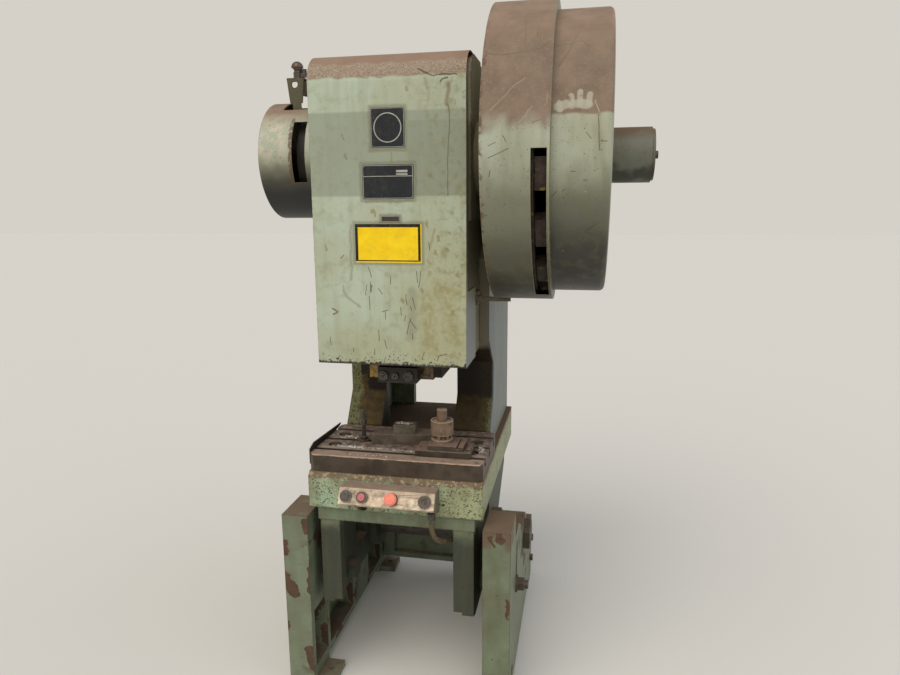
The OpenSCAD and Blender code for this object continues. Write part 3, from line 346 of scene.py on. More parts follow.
# %% Cover scratches
def cover_scratches():
    drip = strokes([[(195, 2062), (193, 2034), (191, 2006)]], 20, 3, 30, soft=0.7)
    lay([drip, 0.7], "#7d6c52")
    line = strokes([[(192, 2006), (196, 1989), (198, 1950), (194, 1904), (191, 1831), (191, 1739)]],
                   3.4, 0.8, 40)
    lay([line, 0.75], "#4e4a39", rough=0.3)
    # fly specks
    lay([spots(5, 0.72, 0.02, 1, shift=4), 0.7], "#4a4636")
    # scratches from years of work
    scratches = strokes([
        [(-68, 1522), (-58, 1489)], [(-63, 1474), (-62, 1444)], [(-74, 1464), (-80, 1431)],
        [(-67, 1427), (-66, 1384)], [(-37, 1452), (-24, 1434)], [(4, 1492), (4, 1468)],
        [(-158, 1547), (-148, 1558)], [(54, 1435), (56, 1402)], [(67, 1398), (72, 1384)],
        [(75, 1425), (84, 1388)], [(51, 1368), (48, 1350)], [(68, 1358), (54, 1308)], [(66, 1354), (86, 1324)],
        [(73, 1309), (74, 1290)], [(36, 1394), (37, 1368)], [(-26, 1378), (-6, 1384)],
        [(-16, 1382), (-15, 1355)], [(89, 1509), (91, 1473)], [(102, 1509), (96, 1458)],
        [(-93, 1211), (-85, 1227)], [(-54, 1255), (-55, 1236)], [(-30, 1198), (-18, 1230)],
        [(-125, 1256), (-126, 1243)], [(152, 1223), (159, 1240), (182, 1248)], [(104, 1230), (110, 1250)],
        [(-20, 1287), (-13, 1257)], [(-39, 1317), (-38, 1283)], [(130, 1600), (132, 1575)],
        [(-205, 1290), (-202, 1262)],
    ], 3, 1.2, 30)
    lay([scratches, 0.85], "#45422f", height=-0.3)
    rust = strokes([[(-194, 1385), (-175, 1374)], [(-191, 1366), (-176, 1373)], [(-59, 1463), (-62, 1440)]],
                   6, 1.5, 20)
    lay([rust, 0.8], "#6b4a2e", rough=0.7)


# %% [markdown]
# Edges come next and dust on top of all. The sheet rusts from its lower edge, where water hangs, and dust
# lies in two tones: speckled over the bend, where it slides, and a smooth brown felt on top.

# %% Cover edges and dust
def cover_enamel():
    open_finish("aged_enamel_on_sheet", "#b3c0ab", "#adb49b", 210, rough=0.42, low=0.4, high=0.6)
    cover_stains()
    cover_scratches()
    # chips thicken towards the bottom edge, which is black
    for z, level in ((1250, 0.66), (1226, 0.585), (1214, 0.5)):
        lay([along(Z, z, z - 10, 6, 30), spots(6.5, level, 0.02, 3, shift=9)], "#26231a", rough=0.55,
            height=-0.4)
    lay([along(Z, COVER_LOW + 9, COVER_LOW + 3, 4, 12), 0.9], "#1d1a13", rough=0.6)
    lay(worn_edges(4, 14, 0.53), "#4a3f2c", rough=0.6, height=-0.4)
    # painted light on the right side: painted shade above, where the guard blocks the light, and painted cool
    # window light below
    side = along(X, COVER_SIDE - 1.6, COVER_SIDE - 0.4)
    lay([side, 0.85], "#746f60", rough=0.6)
    lay([side, along(Z, 1440, 1380, 20, 40), 0.8], "#6d7177", rough=0.5)
    # dust: speckled over the bend with a crisp lower edge, smooth brown on top
    bend = along(Z, 2086, 2094, 5, 40)
    speckle = two_shades("#a69684", "#8d7c6a", 5, low=0.42, high=0.58)
    lay(bend, speckle, rough=0.88, height=0.4)
    lay([bend, spots(4.5, 0.66, 0.03, 2, shift=5), 0.7], "#64574a")
    crack = strokes([[(104, 2110), (130, 2095), (150, 2086), (161, 2090), (219, 2088)],
                     [(171, 2071), (175, 2077), (192, 2080)]], 6, 2, 20)
    lay([crack, 0.8], "#4b4032")
    lay(along(Z, 2128, 2140, 6, 40), two_shades("#8d7564", "#957e6c", 70), rough=0.95)
    return close_finish(0.8)


# %% [markdown]
# The same enamel on the guard drums, but dust has lain on them for years: brown felt on every part that
# looks up, with lines drawn in it by fingers, and bare dark undersides where light hardly reaches. Flat marks
# would smear over the round, so each is given as X across and degrees up, as the drum's skin unrolls.

# %% Guard enamel
INNER_R, OUTER_R, BRAKE_R = 458, 428, 192


def flat_sides(light, dark, radius):
    """The flat discs at a drum's ends hold no dust: they are plain enamel, streaked and darker low down."""
    for low, high in ((0.8, 0.95), (-0.8, -0.95)):
        disc = facing(X, low, high)
        floor_z = AXIS_Z - radius
        lay(disc, two_shades(light, dark, 160, shift=3.3), rough=0.45)
        lay([disc, spots(30, 0.56, 0.1, 4, (1, 1, 0.12), 6.2), 0.4], "#7b6a50")
        lay([disc, along(Z, floor_z + 260, floor_z, 60, 200), 0.45], "#4f4d3d")
        lay([disc, spots(6, 0.69, 0.02, 2, shift=4.4), 0.7], "#3f3a2b")
    lay([facing(Z, 0.5, 0.8), 0.9], two_shades("#7d6959", "#8f7b69", 60), rough=0.95)


def guard_enamel(name, edge_low, edge_high, raggedness, underside_shade, fingers, scratches):
    open_finish(name, "#adb3a1", "#a2a690", 190, rough=0.38, shift=2)
    lay([spots(110, 0.5, 0.16, 5, shift=6), 0.3], "#88845f")
    # painted shade with some grime: darker towards the bottom, where the drum turns away from the light
    for degrees, strength, colour in ((-12, 0.8, "#6c6c57"), (-32, 0.8, "#4a4939"), (-50, 0.85, "#302f26")):
        lay([up_the_drum(degrees + 9, degrees - 9, 20), strength], colour, rough=0.45)
    # painted shade, deeper on the outer guard's underside
    if underside_shade:
        lay([up_the_drum(-6, -44, 20), underside_shade], "#24241f")
    lay([spots(34, 0.58, 0.1, 3, (1, 1, 0.2), 2.2), 0.3], "#6b6547")
    lay([spots(5.5, 0.7, 0.02, 1.5, shift=8), 0.75], "#3f3a2b")
    lay([spots(9, 0.765, 0.015, 2, shift=1), 0.8], "#cfcab4", rough=0.5)
    marks = drum_strokes(scratches, 2.6, 1.2, 30)
    lay([marks, 0.8], "#3a3728", height=-0.3)
    lay(worn_edges(4, 16, 0.46), "#9a8c6c", rough=0.7)
    # dust, with a finer mottle in it and a few pale nicks
    dust = up_the_drum(edge_low, edge_high, raggedness, 46)
    felt = two_shades("#786556", "#897463", 60, shift=4.4)
    lay([dust, 0.96], felt, rough=0.95, height=0.5)
    lay([dust, spots(7, 0.6, 0.06, 3, shift=2.1), 0.3], "#9c8a79")
    lay([dust, spots(5, 0.73, 0.02, 2, shift=2.7), 0.6], "#b3a68c", rough=0.7)
    lay([up_the_drum(36, 62, 20, 90), 0.65], "#b59a84")
    drawn = drum_strokes(fingers, 4.6, 3.5, 50)
    lay([drawn, dust, 0.45], "#665140", height=-0.4)


# %% [markdown]
# The two guards differ in their marks only: on the inner one the dust fades out raggedly, on the outer one it
# ends in a crisp line, with the print of a hand across it.

# %% The two guards
def inner_guard():
    guard_enamel("dusty_enamel_inner_guard", 3, 11, 16, 0, [
        [(429, 48), (430, 35)], [(471, 47), (463, 38)], [(374, 46), (364, 41), (348, 38)],
        [(352, 36), (332, 34)], [(332, 32), (376, 31), (435, 32), (470, 33), (500, 36)],
    ], [[(385, 3), (394, 1)], [(348, 0), (367, 1)], [(461, 7), (486, 8)], [(347, -4), (400, -1)],
        [(349, -10), (352, -8)]])
    pale = drum_strokes([[(439, 22), (402, 18), (350, 11)], [(458, 12), (428, 7)], [(498, 13), (498, 16)]],
                        4, 4, 40)
    lay([pale, 0.35], "#b3a890")
    # rust creeps in from the left edge
    lay([along(X, 334, 323, 6, 30), spots(18, 0.5, 0.06, 4, shift=5.5), 0.8], "#5b402c", rough=0.8)
    flat_sides("#9ba08b", "#868871", INNER_R)
    return close_finish(0.8)


def outer_guard():
    guard_enamel("dusty_enamel_outer_guard", 10, 11.2, 4, 0.75, [
        [(598, 61), (592, 54), (560, 41), (549, 36), (520, 28)], [(512, 38), (553, 39), (576, 40), (601, 37)],
    ], [[(628, 10), (633, -2)], [(598, 4), (612, 2)], [(636, 1), (652, 1)], [(562, -9), (574, -9)],
        [(594, -12), (605, -12)], [(540, -16), (547, -15)], [(512, -18), (526, -16)], [(601, -32), (638, -28)],
        [(604, -32), (629, -33)], [(574, -35), (578, -37)], [(594, -3), (596, -3.2)]])
    # a hand has wiped the dust off: a palm and four finger tips
    palm = drum_strokes([[(527, 13), (545, 14)], [(545, 14), (600, 13.5)]], 30, 4, 26, soft=0.25)
    tips = drum_strokes([[(557, 14), (557, 17)], [(580, 14), (580, 18.3)], [(603, 13.5), (605, 17.2)],
                         [(529, 12), (527, 14.6)]], 17, 2, 20, soft=0.3)
    for hand in (palm, tips):
        lay([hand, spots(22, 0.38, 0.05, 3, shift=3), 0.75], "#a9a794", rough=0.5)
    lay([drum_strokes([[(569, 12.2), (580, 12)]], 12, 2, 20), 0.7], "#7c6654")
    pale = drum_strokes([[(618, 15), (629, 11)], [(601, -16), (603, -16.2)]], 3.2, 1, 20)
    lay([pale, 0.5], "#c9c2a4")
    flat_sides("#a0a590", "#8b8d76", OUTER_R)
    return close_finish(0.8)


# %% [markdown]
# The small guard over the brake is painted a lighter shade, almost cream where hands have rubbed it. A brown
# band of dust and rust lies on top and follows the left edge of the window. It could share the big guards'
# finish, but so little of their wear fits it that it has its own.

# %% Brake guard enamel
def brake_enamel():
    open_finish("rubbed_enamel_brake_guard", "#a9ac97", "#9da48e", 70, rough=0.42, shift=1)
    lay([spots(30, 0.52, 0.07, 5, shift=4), along(X, -330, -370), 0.75], "#c3b9a4")
    lay([spots(7, 0.66, 0.03, 3, shift=2), 0.7], "#57503d")
    # painted shade: darker towards the bottom, where the drum turns away from the light
    for degrees, strength, colour in ((0, 0.6, "#77765f"), (-11, 0.88, "#3b382e"), (-26, 0.93, "#1b1916")):
        lay([up_the_drum(degrees + 12, degrees - 12, 20, 60), strength], colour, rough=0.5)
    edge = strokes([[(-328, 1985), (-328, 1790)]], 16, 3, 20, soft=0.5)
    lay([edge, spots(14, 0.4, 0.08, 4), 0.85], "#5d4431", rough=0.8)
    lay(worn_edges(4, 12, 0.45), "#6e5238", rough=0.75)
    lay([up_the_drum(44, 54, 26, 50), 0.92], two_shades("#7a5f4a", "#8d7460", 30), rough=0.95, height=0.4)
    flat_sides("#9ba08b", "#878a74", BRAKE_R)
    return close_finish(0.8)


# %% [markdown]
# Enamel brushed thickly on cast iron. The casting is pebbled from the sand mould, and the paint has flaked
# off in specks that show dark iron, with cream filler and brown oil along the edges. The pebbles could be
# modelled, but they are under a millimetre deep, so a bump serves. Rust scabs on the pedestals are drawn.

# %% Casting enamel
def casting_enamel(name, light, dark, flakes=0.62, oil=0.5, dusty=0.85, rust=0, fade=None, scabs=()):
    open_finish(name, light, dark, 150, rough=0.5, grain_mm=6, grain=0.5)
    lay([spots(80, 0.5, 0.12, 5, shift=2), oil], "#5f583f", rough=0.45)
    lay([spots(30, 0.56, 0.1, 3, (1, 1, 0.15), 5), 0.4 * oil], "#4c4531", rough=0.4)
    lay([spots(8, flakes - 0.03, 0.02, 3, shift=1), 0.4], "#a8a487")
    lay(spots(8, flakes, 0.02, 3, shift=1), "#2c2a21", rough=0.6, height=-0.5)
    if rust:
        lay([spots(78, 0.64 - 0.1 * rust, 0.02, 5, shift=8), spots(300, 0.5, 0.04, 2, shift=6), 0.92],
            "#4f382c", rough=0.85, height=0.3)
    if fade:
        lay([along(Z, fade[0], fade[1], 60, 90), fade[2]], fade[3], rough=0.6)
    for width, lines in scabs:
        scab = strokes(lines, width, 9, 34, soft=0.16)
        lay([scab, facing(Y, -0.5, -0.9), 0.95], two_shades("#4a352a", "#5a4030", 20), rough=0.85, height=-0.4)
    lay(worn_edges(5, 16, 0.44), "#4b3a2a", rough=0.65, height=-0.4)
    lay([facing(Z, 0.45, 0.8), spots(40, 0.36, 0.14, 4, shift=3), dusty], "#6f5c4b", rough=0.92, height=0.3)
    return close_finish(1, Specular_IOR_Level=0.4)


# %% [markdown]
# The frame is one casting, but it does not look the same everywhere: the table front is flaked green, the
# cheeks behind the slide are brown and golden with old grease, and the right flank carries painted cool
# window light. Each face could get a material of its own, but the borders are soft, so one material is told
# where it is.

# %% Frame casting
TABLE_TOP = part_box("bolster_plate")[0].z / MM
TABLE_LOW = TABLE_TOP - 130
CHEEK_OUT, CHEEK_IN = 280, 141


def frame_table():
    # yellower to the right, with warm patches of oil
    lay([along(X, 60, 220, 60, 100), 0.7], "#a0a277")
    lay([spots(60, 0.55, 0.1, 5, shift=2), 0.5], "#7b7656", rough=0.42)
    # under the table it is greener, and painted shade darkens it further down
    below = along(Z, TABLE_LOW + 6, TABLE_LOW - 2)
    lay([below, 0.85], "#66735d")
    lay([below, spots(40, 0.55, 0.12, 4, shift=3.3), 0.6], "#6f6a52")
    # painted shade: near black from about Z 650 down, where the table shades the arch
    lay([along(Z, 652, 590, 20, 80), 0.85], "#2f322b")
    lay([spots(26, 0.56, 0.1, 3, (1, 1, 0.12), 5), 0.3], "#57513a", rough=0.38)
    # flaking paint on the table's front: a pale ring of filler round each dark fleck
    table = overlap([along(Z, TABLE_LOW - 4, TABLE_LOW + 4), along(Z, TABLE_TOP + 8, TABLE_TOP + 2)])
    lay([table, spots(6, 0.55, 0.03, 4, shift=1), 0.5], "#b3b294")
    lay([table, spots(6, 0.58, 0.025, 4, shift=1), 0.85], "#34322a", rough=0.6, height=-0.5)
    lay([spots(8, 0.67, 0.02, 3, shift=6), 0.8], "#33312a", rough=0.6, height=-0.5)
    # brown oil and cream filler under the bolster's edge
    top = overlap([along(Z, TABLE_TOP - 24, TABLE_TOP - 12, 9, 30), table])
    lay([top, 0.85], "#6d5844", rough=0.7)
    lay([top, spots(12, 0.58, 0.04, 3, shift=2), 0.8], "#b3a280")


# %% [markdown]
# The slide throws its grease on the cheeks at both sides: flecked yellow green outside, golden, then brown,
# and golden again low down. Beside the cover the head is grey with soot.

# %% Frame cheeks
def frame_cheeks(upright):
    front = overlap([upright, along(Y, -8, -20)])
    lay([front, 0.88], two_shades("#6c6733", "#55532d", 30), rough=0.6)
    lay([front, spots(7, 0.55, 0.04, 4, shift=2.6), 0.75], "#1f1d13", rough=0.6)
    for inward in (1, -1):  # the left cheek, then the right
        side = along(X, -inward * 246, -inward * 226, 7, 40)
        lay([front, side, along(X, -inward * 100, -inward * 120), 0.95], two_shades("#524015", "#35270e", 30),
            rough=0.65)
        core = along(X, -inward * 224, -inward * 206, 7, 40)
        lay([front, core, along(X, -inward * 100, -inward * 120), along(Z, 992, 1010, 8, 50), 0.95],
            two_shades("#1c0f09", "#120a06", 40), rough=0.6)
    # the right cheek is near black above and dull gold low down
    right = overlap([front, along(X, 120, 130)])
    lay([right, along(Z, 985, 1000, 8, 50), 0.92], "#1c120c", rough=0.6)
    lay([right, along(X, 272, 250, 8, 40), along(Z, 1000, 985, 8, 50), 0.8],
        two_shades("#3a2f12", "#2a1c0c", 26), rough=0.65)
    lay([front, along(Z, 1190, 1225, 10, 40), 0.9], "#79735f", rough=0.7)
    # painted shade: near black in the throat between the cheeks, below the head, where little light reaches
    throat_shade = overlap([upright, along(X, -CHEEK_IN - 6, -CHEEK_IN), along(X, CHEEK_IN + 6, CHEEK_IN),
                      along(Z, 1260, 1200), facing(Y, 0.9, 0.5)])
    lay([throat_shade, 0.9], "#262118", rough=0.5)
    lay([front, along(Z, 1940, 1990, 20, 40), 0.8], "#b5ad98", rough=0.8)


# %% Frame flank, edges and dust
def frame_enamel():
    open_finish("flaked_enamel_on_casting", "#9ab094", "#a2ad8b", 110, rough=0.5, grain_mm=6, grain=0.6)
    frame_table()
    upright = along(Z, TABLE_TOP + 4, TABLE_TOP + 20)
    frame_cheeks(upright)
    # painted cool window light makes the right flank grey green, with brown runs
    flank = overlap([upright, along(X, CHEEK_OUT - 8, CHEEK_OUT - 1)])
    lay([flank, 0.9], two_shades("#6b7477", "#5f6766", 90, stretch=(1, 1, 0.2)), rough=0.45)
    lay([flank, spots(40, 0.6, 0.06, 4, (1, 1, 0.2), 4), 0.5], "#6d5a4b")
    lay(worn_edges(5, 14, 0.47), "#453827", rough=0.62, height=-0.4)
    lay([facing(Z, 0.6, 0.9), spots(40, 0.3, 0.14, 4, shift=3), 0.9], "#6f5b4b", rough=0.93, height=0.3)
    return close_finish(1, Specular_IOR_Level=0.25)


# %% [markdown]
# Machined cast iron under oil. The planer leaves fine lines, oil turns it near black, and hands and dies
# polish the edges until bare metal shines through. The lines are a noise drawn out along X, coarser than the
# planer's own so that they show. Full metal would mirror the floor, and oil hides that: a quarter is enough.

# %% Iron finishes
def oily_iron(name, light, dark, edge="#9a8f80", top="#6b5c50", rust=0.62, metal=0.25, rough=0.5,
              stain="#241f19"):
    open_finish(name, light, dark, 90, rough=rough, metal=metal)
    tool_lines = spots(2.5, 0.5, 0.2, 1, (0.05, 1, 1))
    bench["coat"]["height"] = overlap([tool_lines, 0.2])
    lay([spots(45, 0.54, 0.1, 5, shift=4), 0.5], stain, rough=0.4)
    lay([spots(22, rust, 0.05, 5, shift=7), 0.6], "#4d3a2c", rough=0.8, metal=0)
    up = facing(Z, 0.6, 0.9)
    lay([up, 0.9], two_shades(top, stain, 26, low=0.5, high=0.85), rough=0.8, metal=0)
    lay([up, spots(3.5, 0.62, 0.04, 3, shift=3), 0.6], "#8d7c6d", height=0.2)
    lay([worn_edges(2.2, 26, 0.42), 0.8], edge, rough=0.4, metal=0.5)


BOLSTER_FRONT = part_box("bolster_plate")[0].y / MM
BOLSTER_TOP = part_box("bolster_plate")[1].z / MM


def bolster_iron():
    oily_iron("oily_planed_iron", "#54483c", "#483d32", edge="#8a7866", top="#9a8779", rust=0.7)
    # the front edge of the top is rubbed bright by hands and stock, and a painted highlight runs along it
    lip = overlap([along(Z, BOLSTER_TOP - 4, BOLSTER_TOP - 2, 1, 12),
                   along(Y, BOLSTER_FRONT + 7, BOLSTER_FRONT + 3, 1.5, 20)])
    lay([lip, spots(30, 0.36, 0.1, 4, (0.4, 1, 1), 2), 0.95], "#c4a78e", rough=0.45)
    strip = overlap([facing(Z, 0.6, 0.9), along(Y, BOLSTER_FRONT + 40, BOLSTER_FRONT + 34)])
    lay([strip, spots(22, 0.47, 0.1, 4, (0.3, 1, 1), 6), 0.6], "#917c6b", rough=0.6)
    # black oil and grit between the tools
    grit = overlap([facing(Z, 0.6, 0.9), along(Y, -352, -330, 16, 40)])
    lay([grit, spots(22, 0.45, 0.1, 4, shift=6.6), 0.65], "#332b24", rough=0.6)
    return close_finish(0.5, Specular_IOR_Level=0.4)


def tool_iron(*shades, **settings):
    oily_iron(*shades, **settings)
    return close_finish(0.5, Specular_IOR_Level=0.45)


# %% [markdown]
# Turned and ground steel is bare metal with a brown film. Its edges stay bright because fingers, spanners
# and neighbours keep rubbing them. One steel could serve for all, but oil makes the shine differ too much.

# %% Steel finish
def bare_steel(name, light, dark, rough, metal, edge="#b8b0a2"):
    open_finish(name, light, dark, 36, rough=rough, metal=metal, grain_mm=2, grain=0.05)
    lay([spots(16, 0.6, 0.06, 4, shift=3), 0.85], "#4a3a2a", rough=0.7, metal=0.1)
    lay([worn_edges(1.5, 12, 0.4), 0.75], edge, rough=0.32, metal=0.9)
    lay([facing(Z, 0.7, 0.95), spots(14, 0.45, 0.1, 4), 0.7], "#6a594a", rough=0.85, metal=0)
    return close_finish(0.4)


# %% [markdown]
# Grease on a slideway is thrown to the ends by every stroke and hardens there, yellow where it is thick and
# brown where dirt is mixed in. Blobs could be modelled, but a bump under a glossy coat looks as wet.

# %% Grease
def greased_iron(name, light, dark, grease, thick, low, high):
    open_finish(name, light, dark, 50, rough=0.4, metal=0.3)
    lay([spots(26, 0.5, 0.1, 4, shift=2), 0.7], "#17120c", rough=0.35)
    ends = along(Z, high, low, 10, 24)
    lay([ends, spots(14, thick, 0.12, 4, shift=5), 0.95], grease, rough=0.22, metal=0, height=0.5)
    return close_finish(0.8, Coat_Weight=0.3)


# %% [markdown]
# The control box is bent sheet with cream paint, rubbed to bare metal and brown primer by years of hands.
# The buttons are moulded plastic: smooth, slightly glossy, and grey with dust in the corners.

# %% Box and plastic finishes
BOX_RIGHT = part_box("control_box")[1].x / MM
BOX_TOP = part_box("control_box")[1].z / MM


def box_paint():
    open_finish("rubbed_cream_enamel", "#e0cab0", "#cbb397", 46, rough=0.5)
    lay([spots(26, 0.53, 0.07, 5, shift=1), 0.85], "#e6d5bb", rough=0.45)
    lay([spots(20, 0.58, 0.05, 5, shift=5), 0.6], "#80704f", rough=0.5, height=-0.2)
    lay([spots(44, 0.6, 0.05, 3, shift=8), 0.5], "#5f5747")
    lay([spots(4, 0.7, 0.02, 1, shift=2), 0.7], "#40382c")
    lay([along(X, BOX_RIGHT - 6, BOX_RIGHT - 1), 0.9], "#4b4a40", rough=0.55)
    lay(worn_edges(3, 9, 0.42), "#4a3f32", rough=0.6)
    lip = overlap([along(Z, BOX_TOP - 24, BOX_TOP - 18), facing(Z, 0.3, 0.7)])
    lay([lip, 0.92], two_shades("#7d6b5f", "#8d7866", 30), rough=0.9)
    return close_finish(0.5)


def moulded_plastic(name, shade, worn, rough=0.4, dust="#8a7c6a", rim=None):
    open_finish(name, shade, worn, 9, rough=rough)
    lay([spots(7, 0.56, 0.08, 4), 0.35], dust, rough=0.8)
    if rim:
        lay([worn_edges(1.6, 14, 0.36), 0.8], rim, rough=0.5)
    return close_finish(0.15)


# %% [markdown]
# Behind the guards' openings the wheel and the drum run in shade. They are black with oil, the brake drum
# with painted shade as well, and the wheel's lugs are brown with yellow chalk marks, so that something is
# seen to turn in there.

# %% Wheel finish
def shaded_wheel(name, near, far, chalk):
    open_finish(name, near, far, 60, rough=0.6, metal=0.1)
    lay([spots(20, 0.55, 0.06, 4, shift=2), 0.6], "#15110d", rough=0.5)
    lay([spots(15, 0.66, 0.04, 3, (0.5, 1, 1), 5), chalk], "#8f7936", rough=0.8)
    lay([worn_edges(3, 20, 0.45), 0.6], "#5d5040", rough=0.5)
    return close_finish(0.6, Specular_IOR_Level=0.3)


# %% [markdown]
# Each node now gets its finish, the enamels first. Scabs of rust are given as their width and the lines that
# they follow on the pedestals' fronts.

# %% Enamelled pieces
LEFT_SCABS = ((34, [[(-400, 552), (-392, 524)], [(-320, 148), (-310, 84)], [(-312, 640), (-309, 610)]]),
              (50, [[(-396, 428), (-384, 402)], [(-384, 402), (-368, 366)]]),
              (14, [[(-352, 690), (-318, 676)], [(-398, 250), (-399, 205)], [(-306, 470), (-306, 380)]]))
RIGHT_SCABS = ((30, [[(352, 700), (364, 640)]]), (13, [[(330, 645), (345, 618)], [(388, 420), (389, 360)]]))
finishes = [
    (cover_enamel(), "head_cover"),
    (inner_guard(), "flywheel_guard_inner"),
    (outer_guard(), "flywheel_guard_outer"),
    (brake_enamel(), "brake_guard"),
    (frame_enamel(), "frame_casting"),
    (casting_enamel("chipped_enamel_left_pedestal", "#7b8872", "#717b64", 0.69, 0.35, 0.9, 0.75,
                    scabs=LEFT_SCABS), "pedestal_left cross_tie"),
    (casting_enamel("oily_enamel_right_pedestal", "#727f66", "#656d55", 0.69, 0.45, 0.9, 0.6,
                    (585, 650, 0.75, "#644a3a"), RIGHT_SCABS), "pedestal_right"),
    (casting_enamel("brown_enamel_on_bracket", "#6f6b54", "#5c5845", 0.66, 0.5, 0.9),
     "motor_bracket guard_bracket"),
    (casting_enamel("olive_enamel_on_bracket", "#5a583f", "#484632", 0.68, 0.4, 0.6), "valve_bracket"),
    (casting_enamel("dark_enamel_on_cap", "#74776a", "#62655a", 0.7, 0.3, 1, 0,
                    (AXIS_Z - 15, AXIS_Z - 75, 0.85, "#33352d")), "end_cap"),
    (casting_enamel("grey_motor_enamel", "#66716f", "#55605f", 0.7, 0.3, 0.9), "motor"),
]

# %% [markdown]
# Then the bare metal, from the planed bolster to the ground shaft. Bolts, nuts and studs share one oiled dark
# steel, because that is how they come and how they age.

# %% Bare metal pieces
GIB_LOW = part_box("gib_left")[0].z / MM
GREASE_LOW, GREASE_HIGH = GIB_LOW + 34, GIB_LOW + 70
finishes += [
    (bolster_iron(), "bolster_plate"),
    (tool_iron("oily_tool_steel", "#4b4236", "#3b332a", edge="#a8917c", top="#7b6457", rust=0.66), "die_base"),
    (tool_iron("browned_tool_block", "#6c6153", "#5e5447", edge="#b39d88", top="#66584b"),
     "tool_block rod_cap connecting_rod"),
    (tool_iron("greyed_tool_step", "#6c6657", "#5c5648", edge="#b5a692", top="#564c40"), "tool_step"),
    (tool_iron("black_oily_iron", "#23201c", "#191714", edge="#575046", top="#332c26", metal=0.2),
     "shank_clamp slide clutch_hub motor_pulley side_plate"),
    (tool_iron("brown_turned_iron", "#7d6752", "#665341", edge="#ddcfba", top="#a8947f", rust=0.58, metal=0.1,
               rough=0.6, stain="#5a4838"), "die_drum"),
    (shaded_wheel("oiled_flywheel_iron", "#463830", "#2b231e", 0.6), "flywheel"),
    # the brake drum and its band: oil, and painted shade behind the guard's window
    (shaded_wheel("oily_and_shaded_brake_drum_iron", "#2a2521", "#1f1b18", 0), "brake_drum brake_band"),
    (greased_iron("yellow_greased_gib", "#3a2a14", "#241a0e", "#b08a17", 0.44, GREASE_LOW, GREASE_HIGH),
     "gib_left"),
    (greased_iron("brown_greased_gib", "#33230f", "#1f160c", "#73531a", 0.5, GREASE_LOW, GREASE_HIGH),
     "gib_right"),
    (bare_steel("oiled_dark_steel", "#55504a", "#3f3b36", 0.45, 0.6),
     "tie_bolts pivot_shaft pivot_nuts tilt_studs tilt_nuts bolster_bolts gib_bolts motor_bolts rod_bolts "
     "screw_locknut hold_down_stud valve_body"),
    (bare_steel("ground_steel", "#8e887e", "#6f695f", 0.32, 0.85), "crankshaft adjusting_screw"),
    (bare_steel("oily_hexagon_nuts", "#46423b", "#2e2b27", 0.42, 0.5, edge="#d2c9b8"), "clamp_nuts set_screw"),
    (bare_steel("browned_steel_dome", "#6d5f50", "#554838", 0.38, 0.7), "valve_dome"),
    (bare_steel("bearing_bronze", "#a5813f", "#8a6b35", 0.35, 0.9), "bush_left bush_right ball_cap"),
]

# %% [markdown]
# Last rubber, paint and plastic. Nothing in them is metal, and a paler worn rim tells a collar from its button.

# %% Rubber, paint and plastic pieces
finishes += [
    (moulded_plastic("belt_rubber", "#2b2927", "#38352f", 0.8), "v_belts"),
    (box_paint(), "control_box"),
    (moulded_plastic("grey_plastic_collar", "#4c443c", "#3a332c", 0.5, rim="#b5a899"), "button_collars"),
    (moulded_plastic("black_plastic_collar", "#2f2b26", "#3a342c", 0.5, rim="#8a7a5a"), "stop_collar"),
    (moulded_plastic("black_plastic", "#2c2b2e", "#383636", 0.42), "start_button conduit_gland"),
    (moulded_plastic("browned_plastic", "#3a3029", "#2f2823", 0.55, rim="#6d6153"), "end_button"),
    (moulded_plastic("brown_conduit", "#5e4f38", "#4a3e2c", 0.75), "conduit"),
    (moulded_plastic("faded_red_plastic", "#f58a70", "#ee7a62", 0.45, dust="#d89a82", rim="#f2ad98"),
     "stop_button"),
    (moulded_plastic("worn_red_plastic", "#c4686a", "#b5575a", 0.42, dust="#a87a70"), "small_button"),
]

# %% Assign finishes
dressed = set()
for material, names in finishes:
    for name in names.split():
        mesh = nodes[name].data
        mesh.materials.clear()
        mesh.materials.append(material)
        dressed.add(name)
print("finishes:", len(finishes), "nodes without a finish:", sorted(set(nodes) - dressed))

# %% [markdown]
# Cast and bent edges are never razor sharp. A weld and a small bevel modifier round the model's edges
# without touching its own mesh, and catch the light along each edge. A bevel in the shader would cost render
# time for each sample, so it is kept for the worn paint.

# %% Soft edges
SOFT_EDGES = (("bolster_plate", 1.5), ("die_base", 1.2), ("tool_block", 1.2), ("tool_step", 1),
              ("control_box", 1.5))
SAME_POINT_MM, SHARP_DEGREES = 0.02, 35
for name, width in SOFT_EDGES:
    weld = nodes[name].modifiers.new("weld", "WELD")
    weld.merge_threshold = SAME_POINT_MM * MM
    bevel = nodes[name].modifiers.new("bevel", "BEVEL")
    bevel.width = width * MM
    bevel.segments = 2
    bevel.limit_method = "ANGLE"
    bevel.angle_limit = math.radians(SHARP_DEGREES)
    bevel.harden_normals = True
print("edges rounded, in millimetres:", SOFT_EDGES)

# %% [markdown]
# Four plates are fixed to the cover. Their words and signs are left off, so each is a bare plate with its
# frame. A bevelled cube could make one, but an outline of points, filled and pushed back, gives the corner its
# own radius and serves the raised lines too.

# %% Plate maker
FRONT_Y = -440.0  # the cover's front
ON_PLATE = 0.4  # raised lines start inside their plate


def wall(bm, low, high):
    """Joins two rings of corners with faces."""
    for i in range(len(low)):
        j = (i + 1) % len(low)
        bm.faces.new((low[i], low[j], high[j], high[i]))


def circle(bm, x, z, radius, proud, count):
    """A ring of corners that lies proud of the cover's front."""
    turns = [i * math.tau / count for i in range(count)]
    y = (FRONT_Y - proud) * MM
    return [bm.verts.new(((x + radius * math.cos(a)) * MM, y, (z + radius * math.sin(a)) * MM)) for a in turns]


